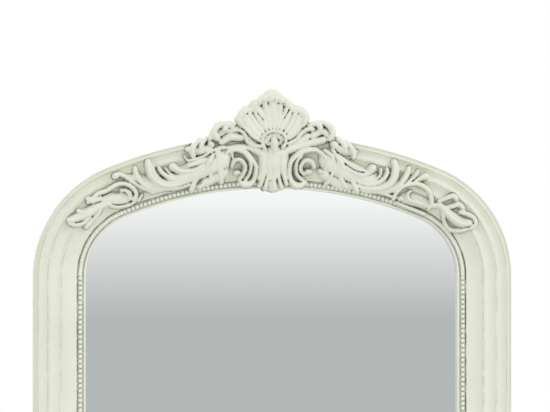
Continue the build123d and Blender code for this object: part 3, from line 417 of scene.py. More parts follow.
def edges_in(parts):
    """The edges among some parts of a mesh."""
    return [part for part in parts if isinstance(part, bmesh.types.BMEdge)]


def section_ring(bm, place):
    """The moulding's closed section, with each point put where place says, as a face."""
    verts = [bm.verts.new(Vector(place(u, y)) * MM) for u, y in front_run + back_run]
    return bm.faces.new(verts)


def sweep_moulding(name, node, place, steps, travel=None, centre=None, turn=0.0):
    """Draw the section along a straight travel, or turn it about a centre, and close the far end."""
    bm = bmesh.new()
    ring = section_ring(bm, place)
    geometry = list(ring.edges)
    if travel:
        for _ in range(steps):
            geometry = bmesh.ops.extrude_edge_only(bm, edges=edges_in(geometry))["geom"]
            verts = [part for part in geometry if isinstance(part, bmesh.types.BMVert)]
            bmesh.ops.translate(bm, verts=verts, vec=Vector(travel) * (MM / steps))
    else:
        geometry = bmesh.ops.spin(
            bm,
            geom=geometry,
            cent=Vector(centre) * MM,
            axis=(0.0, 1.0, 0.0),
            dvec=(0.0, 0.0, 0.0),
            angle=turn,
            space=Matrix.Identity(4),
            steps=steps,
        )["geom_last"]
    bmesh.ops.contextual_create(bm, geom=edges_in(geometry))
    bmesh.ops.recalc_face_normals(bm, faces=bm.faces)
    for face in bm.faces:
        face.smooth = True
    for edge in bm.edges:
        if len(edge.link_faces) == 2 and edge.calc_face_angle() > arris_angle:
            edge.smooth = False
    return piece_from(bm, name, "mirror", "painted_wood", node)


moulding_pieces = {}
for side, word in ((1.0, "right"), (-1.0, "left")):
    piece = sweep_moulding(
        "stile_moulding_" + word,
        "frame_stile_" + word,
        lambda u, y, side=side: (side * (half_width - u), y, spring_height),
        40,
        travel=(0.0, 0.0, frame_bottom - spring_height),
    )
    for vertex in piece.data.vertices:
        inset = half_width - abs(vertex.co.x) / MM
        share = (spring_height - vertex.co.z / MM) / (spring_height - frame_bottom)
        vertex.co.z = (spring_height - share * (spring_height - frame_bottom - inset)) * MM
    moulding_pieces["stile_" + word] = piece
    moulding_pieces["shoulder_" + word] = sweep_moulding(
        "shoulder_moulding_" + word,
        "frame_shoulder_" + word,
        lambda u, y, side=side: (side * (half_width - u), y, spring_height),
        90,
        centre=(side * shoulder_x, 0.0, spring_height),
        turn=-side * shoulder_angle,
    )
moulding_pieces["crown"] = sweep_moulding(
    "crown_moulding",
    "frame_crown",
    lambda u, y: (
        -(crown_radius - u) * math.sin(crown_angle),
        y,
        crown_z + (crown_radius - u) * math.cos(crown_angle),
    ),
    230,
    centre=(0.0, 0.0, crown_z),
    turn=2 * crown_angle,
)
moulding_pieces["rail"] = sweep_moulding(
    "rail_moulding",
    "frame_bottom_rail",
    lambda u, y: (-half_width, y, frame_bottom + u),
    24,
    travel=(2 * half_width, 0.0, 0.0),
)
for vertex in moulding_pieces["rail"].data.vertices:
    inset = vertex.co.z / MM - frame_bottom
    vertex.co.x *= (half_width - inset) / half_width

# Shell crest: one block of carved limewood, glued over the crown. A shell stands over an egg in a
# collar, a scroll turns down on each side, and a palmette hangs between. Each stroke of the gouge has
# points: along the arch from the crown, in from its outer edge, width, and height above the moulding.
crest_strokes = {
    "shell_rim_middle": [
        (-29, -35, 11, 12), (-22, -43, 13, 14.5), (-14, -48, 15, 16), (-4, -49, 16, 17),
        (6, -48, 15, 16), (15, -43, 13, 14.5), (22, -35, 11, 12),
    ],
    "shell_rim_left": [
        (-31, -35, 11, 11), (-37, -34, 13, 13), (-43, -28, 15, 14), (-45, -22, 13, 13),
        (-41, -14, 9, 11),
    ],
    "shell_rim_right": [
        (23, -35, 11, 11), (31, -35, 13, 13), (37, -30, 15, 14), (40, -24, 13, 13), (38, -16, 9, 11),
    ],
    "rib_1": [
        (-5, 2, 7, 9), (-16, -19, 11, 10), (-21, -36, 12, 11.4),
    ],
    "rib_2": [
        (-3, 0, 7, 9), (-8, -21, 11, 10), (-12, -40, 12, 12.4),
    ],
    "rib_3": [
        (0, 0, 7, 9), (-1, -21, 12, 10.1), (-2, -42, 13, 12.9),
    ],
    "rib_4": [
        (3, 0, 7, 9), (6, -21, 11, 10), (7, -40, 12, 12.4),
    ],
    "rib_5": [
        (5, 2, 7, 9), (12, -16, 11, 10), (16, -33, 11, 11.4),
    ],
    "rib_left_1": [
        (-8, 4, 8, 9.2), (-22, -12, 11, 9.6), (-32, -30, 9, 10.6),
    ],
    "rib_left_2": [
        (-11, 7, 8, 9.2), (-26, -6, 11, 9.4), (-40, -22, 9, 10.4),
    ],
    "rib_left_3": [
        (-14, 9, 8, 10), (-29, -0, 7, 9), (-42, -15, 7, 10),
    ],
    "rib_right_1": [
        (9, 3, 8, 9.2), (20, -13, 11, 9.6), (27, -31, 11, 10.6),
    ],
    "rib_right_2": [
        (12, 5, 8, 9.2), (25, -7, 11, 9.4), (35, -24, 11, 10.6),
    ],
    "ribbon_left": [
        (-53, -10, 5, 8), (-45, -8, 6, 11), (-39, -1, 6, 12), (-36, 8, 6, 12), (-27, 13, 7, 13),
        (-18, 14, 7, 12),
    ],
    "collar": [
        (-13, 18, 7, 15), (-16, 11, 6, 14), (-16, 4, 6, 14), (-12, -2, 6, 14), (-3, -6, 6, 14),
        (8, -4, 6, 14), (14, 1, 6, 14), (15, 9, 6, 14), (12, 15, 7, 15),
    ],
    "egg": [
        (-1, 4, 9, 15), (-0, 11, 14, 20), (-0, 19, 10, 17), (0, 26, 5, 14), (0, 32, 5, 12),
    ],
    "web_left": [
        (-17, 23, 13, 10), (-30, 17, 11, 9), (-46, 14, 11, 9), (-62, 14, 8, 10),
    ],
    "web_right": [
        (18, 19, 13, 10), (33, 14, 12, 9), (49, 8, 12, 9), (66, 2, 11, 9),
    ],
    "web_middle": [
        (0, 22, 27, 12), (-1, 36, 35, 12), (0, 48, 35, 11.5), (1, 60, 32, 11),
    ],
    "ribbon_right": [
        (20, 10, 7, 11), (29, 5, 7, 11), (36, -4, 7, 12), (43, -10, 7, 13), (49, -11, 8, 14),
    ],
    "scroll_left_1": [
        (-67, 20, 5, 10), (-58, 16, 8, 12), (-47, 17, 10, 13), (-38, 23, 9, 14), (-31, 31, 7, 15),
        (-26, 40, 7, 15), (-26, 49, 7, 14), (-29, 58, 8, 13), (-35, 63, 11, 13), (-43, 63, 11, 13),
        (-49, 60, 7, 12),
    ],
    "scroll_left_2": [
        (-39, 25, 6, 13), (-34, 33, 6, 14), (-33, 42, 6, 14), (-36, 51, 6, 13), (-41, 57, 7, 12),
    ],
    "scroll_left_3": [
        (-60, 39, 5, 12), (-57, 32, 7, 14), (-49, 30, 7, 15), (-43, 35, 7, 15), (-41, 42, 7, 15),
        (-44, 49, 7, 14), (-49, 55, 7, 13),
    ],
    "scroll_left_knob": [
        (-54, 47, 9, 15), (-53, 47, 9, 15),
    ],
    "scroll_left_tooth": [
        (-59, 19, 7, 10), (-58, 26, 4, 9), (-57, 30, 3, 8),
    ],
    "scroll_right_1": [
        (58, 16, 8, 12), (48, 17, 9, 13), (39, 20, 10, 14), (31, 26, 9, 15), (25, 33, 8, 15),
        (23, 42, 7, 15), (24, 52, 8, 14), (28, 60, 9, 13), (35, 65, 11, 13), (43, 64, 10, 13),
        (48, 60, 7, 12),
    ],
    "scroll_right_2": [
        (38, 26, 6, 13), (33, 33, 6, 14), (32, 42, 6, 14), (35, 51, 6, 13), (43, 57, 7, 12),
    ],
    "scroll_right_3": [
        (45, 50, 5, 12), (39, 44, 7, 14), (40, 36, 7, 15), (46, 31, 8, 15), (54, 33, 8, 15),
        (58, 39, 7, 14),
    ],
    "scroll_right_knob": [
        (50, 46, 9, 15), (52, 46, 9, 15),
    ],
    "strand_right_1": [
        (57, 16, 7, 12), (66, 20, 7, 13), (73, 27, 7, 13), (75, 36, 6, 13), (72, 45, 6, 12),
        (67, 43, 7, 12),
    ],
    "petal_1": [
        (-12, 48, 6, 10), (-16, 59, 8, 12.5), (-20, 66, 8, 14),
    ],
    "petal_2": [
        (-7, 51, 6, 10.5), (-10, 62, 8, 13), (-12, 70, 8, 15),
    ],
    "petal_3": [
        (0, 51, 6, 11), (1, 62, 9, 13.5), (2, 71, 9, 16),
    ],
    "petal_4": [
        (7, 51, 6, 10.5), (10, 62, 8, 13), (13, 69, 8, 15),
    ],
    "petal_5": [
        (13, 48, 6, 10), (18, 59, 8, 12.5), (20, 64, 7, 14),
    ],
    "petal_bud": [
        (-0, 36, 4, 14), (0, 43, 6, 17), (1, 51, 5, 15),
    ],
    "lobe_left_1": [
        (-68, -19, 9, 11), (-76, -16, 12, 13), (-80, -9, 12, 14), (-77, -2, 11, 14),
    ],
    "lobe_left_2": [
        (-56, -18, 8, 11), (-62, -17, 11, 13), (-65, -12, 10, 14),
    ],
    "lobe_left_back": [
        (-86, -2, 9, 9), (-78, -14, 11, 9), (-67, -19, 9, 9), (-55, -14, 9, 9),
    ],
    "hollow_left": [
        (-70, 4, 11, 8), (-59, -1, 12, 8.5), (-45, 1, 11, 9),
    ],
    "lobe_right_1": [
        (46, -15, 7, 12), (53, -18, 9, 13), (59, -16, 11, 14), (60, -11, 9, 14),
    ],
    "lobe_right_2": [
        (55, -20, 7, 11), (65, -20, 9, 13), (73, -16, 11, 14), (77, -8, 11, 14), (75, -1, 9, 13),
    ],
    "lobe_right_back": [
        (52, -3, 12, 8), (64, -10, 12, 8), (74, -3, 12, 8),
    ],
    "fill_left": [
        (-75, -6, 13, 5), (-66, -10, 13, 6), (-55, -10, 13, 6), (-45, -9, 13, 6),
    ],
    "fill_right": [
        (39, -9, 13, 6), (51, -11, 13, 6), (63, -10, 13, 6),
    ],
    "dish_1": [
        (0, 7, 19, 8), (-14, -19, 25, 9.6), (-24, -39, 20, 11),
    ],
    "dish_2": [
        (0, 7, 19, 8), (0, -21, 32, 9.6), (-3, -46, 33, 12),
    ],
    "dish_3": [
        (0, 7, 19, 8), (13, -19, 24, 9.6), (18, -39, 17, 11),
    ],
    "dish_4": [
        (-9, 8, 16, 8), (-28, -8, 24, 9.2), (-38, -26, 21, 10),
    ],
    "dish_5": [
        (9, 8, 16, 8), (26, -8, 24, 9.2), (34, -27, 20, 10),
    ],
    "shoulder_left": [
        (-17, 19, 19, 8), (-32, 9, 13, 7), (-37, -1, 11, 6),
    ],
    "shoulder_right": [
        (16, 16, 19, 8), (32, 9, 15, 8), (43, 0, 12, 8),
    ],
    "web_low_left": [
        (-13, 24, 19, 9.5), (-14, 39, 17, 9.5), (-18, 53, 15, 9.5),
    ],
    "web_low_right": [
        (12, 24, 19, 11), (14, 39, 17, 11.5), (18, 53, 15, 10.5),
    ],
}


ground_line = ((0.0, 28.0), (20.0, 24.0), (36.0, 19.5), (58.0, 8.0), (70.0, 6.0))


def slope_front(inset):
    """The moulding's front with its flutes evened out, which the carving's ground follows."""
    if inset <= ground_line[0][0]:
        return ground_line[0][1]
    for (u0, f0), (u1, f1) in zip(ground_line, ground_line[1:]):
        if inset <= u1:
            return f0 + (f1 - f0) * (inset - u0) / (u1 - u0)
    return ground_line[-1][1]


def eased(before, start, end, after, share):
    """A smooth run through four values, at a share of the way between the middle two."""
    slope_0 = (end - before) / 2
    slope_1 = (after - start) / 2
    s2 = share * share
    s3 = s2 * share
    return (
        (2 * s3 - 3 * s2 + 1) * start
        + (s3 - 2 * s2 + share) * slope_0
        + (3 * s2 - 2 * s3) * end
        + (s3 - s2) * slope_1
    )


station_gap = 2.4
root_depth = 4.0
back_share = 0.2
end_turns = (78.0, 50.0, 25.0)
end_height = 0.35
ring_segments = 16
channel_share = 0.3
scoop_depth = 0.16
softening_rounds = 3
scooped = (
    "leaf_0", "leaf_2", "leaf_3", "leaf_4", "petal_b", "petal_d", "tail",
    "scroll_left_1", "scroll_right_1", "spiral_rib",
)


def stations(points):
    """Even stations along a stroke, each with its x, z, half width, root and height."""
    knots = []
    for along, inset, width, relief in points:
        x, z = arch_point(along, inset)
        knots.append((x, z, width / 2, slope_front(inset), relief))
    run = []
    for i in range(len(knots) - 1):
        four = (knots[max(i - 1, 0)], knots[i], knots[i + 1], knots[min(i + 2, len(knots) - 1)])
        gap = math.hypot(knots[i + 1][0] - knots[i][0], knots[i + 1][1] - knots[i][1])
        steps = max(1, round(gap / station_gap))
        for k in range(steps):
            run.append([eased(*values, k / steps) for values in zip(*four)])
    run.append(list(knots[-1]))
    return run


def carve_stroke(bm, points, scoop):
    """Add one stroke: rings bridged into a rounded ridge with round ends, rooted in the ground. A
    scoop is the share of its height that a shallow channel along its top takes away."""
    gouge = bmesh.new()
    run = stations(points)
    first = Vector((run[0][0] - run[1][0], run[0][1] - run[1][1])).normalized()
    last = Vector((run[-1][0] - run[-2][0], run[-1][1] - run[-2][1])).normalized()
    head = []
    tail = []
    for turn in end_turns:
        reach = math.sin(math.radians(turn))
        shrink = math.cos(math.radians(turn))
        for end, lead, kept in ((run[0], first, head), (run[-1], last, tail)):
            half = end[2]
            kept.append([
                end[0] + lead.x * half * reach,
                end[1] + lead.y * half * reach,
                half * shrink,
                end[3],
                end[4] * (end_height + (1.0 - end_height) * shrink),
            ])
    run = head + run + tail[::-1]
    previous = None
    for i, (x, z, half, root, relief) in enumerate(run):
        before = run[max(i - 1, 0)]
        after = run[min(i + 1, len(run) - 1)]
        along = Vector((after[0] - before[0], 0.0, after[1] - before[1])).normalized()
        across = Vector((-along.z, 0.0, along.x))
        depth = relief + root_depth
        bed = root_depth - root
        rows = Matrix((
            (across.x * half, 0.0, along.x, x),
            (0.0, -depth, 0.0, bed),
            (across.z * half, 0.0, along.z, z),
            (0.0, 0.0, 0.0, 1.0),
        ))
        capped = i in (0, len(run) - 1)
        ring = bmesh.ops.create_circle(
            gouge, cap_ends=capped, segments=ring_segments, radius=1.0, matrix=rows
        )["verts"]
        for vert in ring:
            back = vert.co.y - bed
            if back > 0.0:
                vert.co.y = bed + back_share * back
                continue
            aside = (vert.co - Vector((x, vert.co.y, z))).dot(across) / half
            if abs(aside) < channel_share:
                vert.co.y += scoop * depth
        edges = list({edge for vert in ring for edge in vert.link_edges})
        if previous:
            bmesh.ops.bridge_loops(gouge, edges=previous + edges)
        previous = edges
    cut = bpy.data.meshes.new("stroke")
    gouge.to_mesh(cut)
    gouge.free()
    bm.from_mesh(cut)
    bpy.data.meshes.remove(cut)


def soften(bm, rounds):
    """Ease each point of a mesh towards its neighbours."""
    for _ in range(rounds):
        bmesh.ops.smooth_vert(
            bm, verts=bm.verts, factor=0.5, use_axis_x=True, use_axis_y=True, use_axis_z=True
        )


def carved(name, strokes, voxel):
    """Join the strokes into one smooth carved solid."""
    bm = bmesh.new()
    for word, points in strokes.items():
        carve_stroke(bm, points, scoop_depth if word.startswith(scooped) else 0.0)
    bmesh.ops.recalc_face_normals(bm, faces=bm.faces)
    rough = bpy.data.meshes.new(name + "_rough")
    bm.to_mesh(rough)
    bm.free()
    block = bpy.data.objects.new(name + "_rough", rough)
    bpy.context.scene.collection.objects.link(block)
    joined = block.modifiers.new("joined", "REMESH")
    joined.mode = "VOXEL"
    joined.voxel_size = voxel
    joined.use_smooth_shade = True
    bpy.context.view_layer.update()
    solid = bpy.data.meshes.new_from_object(block.evaluated_get(bpy.context.evaluated_depsgraph_get()))
    bpy.data.objects.remove(block)
    bm = bmesh.new()
    bm.from_mesh(solid)
    soften(bm, softening_rounds)
    bmesh.ops.scale(bm, vec=(MM, MM, MM), verts=bm.verts)
    for face in bm.faces:
        face.smooth = True
    return bm


fine_rounds = 5
broad_rounds = 16
blur_rounds = 4
clear_of_frame = 20.0


def hollows(bm, rounds):
    """How deep each point lies, in millimetres: above 0 in a crease and below 0 on an arris."""
    bm.normal_update()
    bm.verts.ensure_lookup_table()
    bm.verts.index_update()
    places = [vert.co.copy() for vert in bm.verts]
    normals = [vert.normal.copy() for vert in bm.verts]
    eased_bm = bm.copy()
    soften(eased_bm, rounds)
    eased_bm.verts.ensure_lookup_table()
    depth = []
    for vert, place, normal in zip(eased_bm.verts, places, normals):
        depth.append((vert.co - place).dot(normal) / MM)
    eased_bm.free()
    near = [[edge.other_vert(vert).index for edge in vert.link_edges] for vert in bm.verts]
    for _ in range(blur_rounds):
        blurred = []
        for own, others in zip(depth, near):
            blurred.append((own + sum(depth[i] for i in others)) / (1 + len(others)))
        depth = blurred
    return depth


def finish_carving(bm, name, node):
    """Turn a carved bmesh into a piece that knows its hollows and how near the moulding it lies."""
    fine = hollows(bm, fine_rounds)
    broad = hollows(bm, broad_rounds)
    # How high each point stands above the moulding, for painted shade at the carving's foot.
    foot = []
    for vert in bm.verts:
        inset = edge_place(vert.co.x / MM, vert.co.z / MM)[1]
        foot.append(-vert.co.y / MM - moulding_height(inset) if inset > 0.0 else clear_of_frame)
    piece = piece_from(bm, name, "mirror", "painted_wood", node)
    store(piece, "crease", fine)
    store(piece, "hollow", broad)
    store(piece, "foot", foot)
    return piece


# The carver's file left nicks along the shell's rim, and two slits are cut down between its ribs.
shell_root = Vector((0.0, 0.0, 1732.0))
rim_foot = 1744.0
rim_face = -37.5
rim_step = 4.5
nick_depth = 0.65
nicks_per_radian = 44.0
chip_depth = 1.3
chip_grain = 0.42
slits = (((-23.5, 1768.0), (-14.0, 1757.0)), ((19.8, 1773.0), (12.4, 1759.5)))
slit_depth = 2.4
slit_breadth = 1.1
crest_bm = carved("shell_crest_carving", crest_strokes, voxel=0.95)
crest_bm.normal_update()
for vert in crest_bm.verts:
    place = vert.co / MM
    if place.z < rim_foot or place.y > rim_face:
        continue
    spoke = math.atan2(place.x - shell_root.x, place.z - shell_root.z)
    raised = min(1.0, (rim_face - place.y) / rim_step)
    nick = nick_depth * math.sin(spoke * nicks_per_radian)
    chip = chip_depth * noise.noise(place * chip_grain)
    vert.co += vert.normal * ((nick + chip) * MM * raised)
    for start, end in slits:
        on_slit, share = intersect_point_line((place.x, place.z), start, end)
        if 0.0 < share < 1.0:
            away = math.hypot(place.x - on_slit.x, place.z - on_slit.y)
            vert.co.y += slit_depth * MM * math.exp(-((away / slit_breadth) ** 2))
crest_piece = finish_carving(crest_bm, "shell_crest_carving", "shell_crest")

# Leaf sprays: limewood carvings glued down each side of the arch, over the cove and the flutes. Each
# has drooping petals by the crest, a row of gadroons on the rim, an acanthus spray whose lobes curl
# out, a leaf that turns over on itself, and a ruffled end leaf. The carver cut each side by eye.
left_strokes = {
    "finger_1": [
        (-101, -2, 8, 8), (-108, 4, 9, 11), (-112, 10, 10, 13), (-112, 16, 9, 12),
    ],
    "finger_2": [
        (-91, -3, 7, 8), (-97, 2, 8, 11), (-100, 8, 9, 13), (-101, 13, 8, 12),
    ],
    "finger_3": [
        (-86, 5, 9, 13), (-85, 6, 9, 13),
    ],
    "ridge": [
        (-124, 14, 3, 6), (-121, 21, 4, 8), (-113, 22, 5, 8), (-99, 20, 5, 8), (-86, 15, 5, 9),
        (-74, 12, 7, 10), (-63, 13, 5, 9),
    ],
    "wash": [
        (-118, 7, 8, 6), (-106, 10, 16, 8), (-90, 11, 13, 8),
    ],
    "base": [
        (-166, 43, 17, 8), (-142, 40, 25, 9), (-118, 37, 28, 10), (-96, 31, 31, 10), (-77, 27, 33, 10),
    ],
    "base_low": [
        (-100, 54, 15, 8), (-88, 50, 16, 8), (-74, 44, 19, 9),
    ],
    "leaf_0": [
        (-97, 25, 8, 10), (-110, 27, 9, 12), (-121, 28, 7, 11),
    ],
    "leaf_1": [
        (-102, 34, 7, 11), (-119, 36, 8, 13), (-134, 33, 10, 14), (-142, 26, 13, 15),
    ],
    "leaf_1_hook": [
        (-125, 40, 3, 9), (-139, 40, 5, 10), (-149, 33, 5, 11), (-153, 25, 4, 10),
    ],
    "leaf_2": [
        (-121, 42, 5, 10), (-139, 43, 7, 12), (-152, 37, 8, 13), (-160, 28, 7, 12), (-162, 21, 5, 10),
    ],
    "leaf_3": [
        (-113, 42, 5, 10), (-132, 48, 9, 12), (-151, 48, 12, 14), (-165, 41, 14, 15),
        (-173, 29, 15, 15), (-174, 17, 13, 14), (-174, 11, 10, 12),
    ],
    "leaf_4": [
        (-169, 51, 5, 9), (-182, 44, 8, 11), (-190, 34, 9, 12), (-194, 22, 9, 12), (-193, 13, 7, 11),
    ],
    "leaf_5": [
        (-180, 50, 5, 8), (-193, 40, 6, 9), (-203, 29, 6, 10), (-209, 20, 7, 11), (-216, 13, 7, 10),
    ],
    "leaf_5_ball": [
        (-222, 14, 10, 12), (-221, 14, 10, 12),
    ],
    "leaf_low": [
        (-121, 53, 5, 8), (-143, 55, 5, 9), (-161, 52, 5, 9), (-181, 51, 5, 8),
    ],
    "petal_a": [
        (-85, 20, 6, 12), (-92, 29, 11, 15), (-97, 39, 7, 12),
    ],
    "petal_b": [
        (-78, 16, 11, 11), (-77, 31, 12, 13), (-77, 48, 11, 13), (-77, 57, 8, 12),
    ],
    "petal_c": [
        (-68, 26, 7, 9), (-67, 36, 7, 11),
    ],
    "petal_d": [
        (-105, 41, 9, 10), (-115, 49, 9, 12), (-122, 60, 9, 13),
    ],
    "petal_e": [
        (-104, 57, 8, 11), (-110, 59, 9, 13),
    ],
    "petal_f": [
        (-90, 43, 8, 8), (-94, 54, 8, 9),
    ],
    "spiral_rib": [
        (-278, 27, 5, 8), (-258, 25, 7, 11), (-244, 27, 7, 12), (-232, 26, 7, 12), (-222, 25, 7, 12),
        (-212, 29, 7, 12), (-205, 37, 7, 12), (-203, 46, 7, 12), (-209, 51, 6, 11),
    ],
    "spiral_curl": [
        (-222, 34, 5, 9), (-215, 37, 6, 11), (-212, 43, 8, 13), (-214, 48, 8, 12),
    ],
    "spiral_edge": [
        (-202, 47, 4, 8), (-209, 55, 5, 8), (-223, 56, 6, 9), (-240, 52, 6, 9), (-251, 43, 6, 9),
    ],
    "spiral_floor": [
        (-253, 36, 12, 6), (-236, 40, 20, 6), (-221, 44, 20, 6),
    ],
    "spiral_bead": [
        (-196, 50, 5, 9), (-202, 55, 5, 9),
    ],
    "tail_upper": [
        (-258, 32, 8, 9), (-272, 28, 8, 11), (-274, 23, 8, 12),
    ],
    "tail_body": [
        (-250, 42, 11, 8), (-269, 39, 13, 9), (-287, 37, 15, 11), (-304, 32, 13, 12),
        (-316, 26, 11, 12), (-319, 23, 7, 11),
    ],
    "tail_lobe_1": [
        (-286, 36, 5, 10), (-295, 32, 7, 13), (-298, 26, 7, 12),
    ],
    "tail_lobe_2": [
        (-293, 43, 5, 8), (-310, 41, 7, 10), (-320, 34, 6, 10), (-323, 27, 5, 9),
    ],
    "tail_lobe_3": [
        (-269, 46, 5, 8), (-290, 48, 7, 9), (-311, 48, 7, 10),
    ],
    "base_end": [
        (-166, 43, 16, 7), (-182, 37, 17, 7), (-194, 29, 16, 6.5), (-206, 22, 11, 6),
    ],
}
right_strokes = {
    "finger_1": [
        (81, 6, 11, 13), (83, 7, 11, 13),
    ],
    "finger_2": [
        (85, -2, 8, 8), (93, 3, 9, 11), (97, 9, 9, 13), (99, 14, 7, 12),
    ],
    "finger_3": [
        (97, 1, 8, 8), (104, 6, 9, 11), (109, 12, 9, 13), (111, 18, 8, 12),
    ],
    "wash": [
        (86, 9, 13, 8), (98, 11, 16, 8), (111, 11, 9, 6),
    ],
    "base": [
        (80, 27, 33, 10), (99, 34, 31, 10), (121, 39, 27, 9), (143, 41, 24, 9), (168, 41, 17, 8),
    ],
    "base_low": [
        (77, 45, 19, 9), (94, 53, 17, 8), (113, 56, 15, 8),
    ],
    "strand_1": [
        (70, 16, 7, 11), (81, 22, 7, 12), (86, 34, 7, 12), (85, 48, 7, 12), (80, 59, 7, 11),
    ],
    "strand_2": [
        (81, 14, 7, 10), (90, 26, 7, 12), (96, 40, 8, 13), (101, 51, 9, 13), (109, 58, 10, 13),
    ],
    "petal_a": [
        (89, 22, 7, 12), (96, 31, 11, 15), (102, 41, 7, 12),
    ],
    "petal_b": [
        (114, 46, 5, 10), (121, 54, 9, 14), (127, 61, 8, 14),
    ],
    "leaf_0": [
        (89, 20, 7, 10), (104, 27, 8, 12), (119, 32, 8, 12), (131, 33, 5, 11),
    ],
    "leaf_1": [
        (101, 33, 7, 11), (118, 39, 8, 13), (132, 38, 9, 14), (140, 28, 13, 15),
    ],
    "leaf_1_hook": [
        (127, 46, 3, 9), (143, 44, 5, 10), (153, 35, 5, 11), (152, 26, 5, 10),
    ],
    "leaf_2": [
        (113, 45, 5, 10), (131, 49, 7, 12), (148, 47, 8, 13), (159, 38, 8, 13), (162, 28, 7, 12),
        (160, 23, 5, 10),
    ],
    "leaf_3": [
        (116, 50, 5, 10), (133, 55, 8, 12), (154, 52, 11, 14), (168, 43, 13, 15), (173, 32, 13, 15),
        (172, 20, 12, 14), (167, 12, 9, 12),
    ],
    "leaf_4": [
        (159, 55, 5, 9), (175, 48, 8, 11), (185, 36, 9, 12), (189, 23, 9, 12), (189, 14, 7, 11),
    ],
    "leaf_5": [
        (170, 54, 5, 8), (186, 43, 6, 9), (196, 29, 6, 10), (201, 19, 7, 10), (202, 13, 5, 9),
    ],
    "leaf_5_ball": [
        (199, 33, 5, 9), (207, 23, 7, 11), (214, 17, 11, 13),
    ],
    "leaf_low": [
        (119, 56, 5, 8), (141, 59, 5, 9), (161, 56, 5, 9), (180, 56, 5, 8),
    ],
    "spiral_rib": [
        (184, 58, 6, 9), (184, 50, 7, 11), (189, 40, 7, 12), (198, 33, 7, 12), (210, 29, 7, 12),
        (223, 31, 7, 12), (232, 37, 7, 12), (240, 46, 7, 12), (240, 55, 5, 10),
    ],
    "spiral_curl": [
        (203, 41, 4, 9), (200, 47, 6, 11), (205, 53, 8, 13), (215, 52, 9, 13), (226, 52, 8, 12),
    ],
    "spiral_edge": [
        (190, 62, 5, 8), (204, 63, 6, 9), (220, 63, 6, 9), (237, 63, 6, 9),
    ],
    "spiral_floor": [
        (200, 52, 17, 6), (214, 49, 20, 6), (228, 49, 17, 6),
    ],
    "spiral_ball": [
        (193, 55, 8, 12), (195, 55, 8, 12),
    ],
    "stem": [
        (239, 50, 8, 9), (249, 46, 8, 10), (259, 42, 8, 10),
    ],
    "tail_lobe_1": [
        (251, 38, 7, 9), (258, 31, 7, 12), (265, 23, 8, 12), (272, 24, 7, 11),
    ],
    "tail_lobe_2": [
        (268, 40, 7, 9), (275, 34, 8, 12), (281, 27, 8, 12), (290, 27, 7, 11),
    ],
    "tail_body": [
        (257, 43, 8, 10), (272, 44, 12, 12), (289, 44, 15, 13), (306, 41, 15, 13), (315, 34, 12, 13),
    ],
    "tail_rim": [
        (292, 33, 7, 11), (303, 28, 7, 13), (314, 25, 7, 14), (323, 28, 7, 13), (325, 36, 6, 12),
    ],
    "tail_edge": [
        (270, 50, 5, 9), (286, 57, 6, 10), (304, 58, 7, 10), (317, 50, 7, 10), (323, 40, 5, 10),
    ],
    "base_end": [
        (168, 41, 17, 7), (185, 37, 17, 7), (197, 29, 13, 6.5),
    ],
}

left_bm = carved("leaf_spray_left_carving", left_strokes, voxel=0.9)
left_piece = finish_carving(left_bm, "leaf_spray_left_carving", "leaf_spray_left")
right_bm = carved("leaf_spray_right_carving", right_strokes, voxel=0.9)
right_piece = finish_carving(right_bm, "leaf_spray_right_carving", "leaf_spray_right")

# The moulding is painted darker where the carving's edge meets it, as painted shade at the joint,
# so each point of it keeps its inset and how far it is from the carving.
carving_foot = 1580.0
carving_reach = 30.0
carving_trees = []
for piece in (crest_piece, left_piece, right_piece):
    tree_bm = bmesh.new()
    tree_bm.from_mesh(piece.data)
    carving_trees.append(BVHTree.FromBMesh(tree_bm))
    tree_bm.free()
for word, piece in moulding_pieces.items():
    insets = []
    nearness = []
    for vertex in piece.data.vertices:
        if word == "rail":
            insets.append(vertex.co.z / MM - frame_bottom)
        else:
            insets.append(edge_place(vertex.co.x / MM, vertex.co.z / MM)[1])
        near = carving_reach
        if vertex.co.z / MM > carving_foot and vertex.co.y < 0.0:
            for tree in carving_trees:
                found, _, _, gap = tree.find_nearest(vertex.co, carving_reach * MM)
                if found is not None:
                    near = min(near, gap / MM)
        nearness.append(near)
    store(piece, "inset", insets)
    store(piece, "foot", nearness)
    store(piece, "crease", [0.0] * len(insets))
    store(piece, "hollow", [0.0] * len(insets))
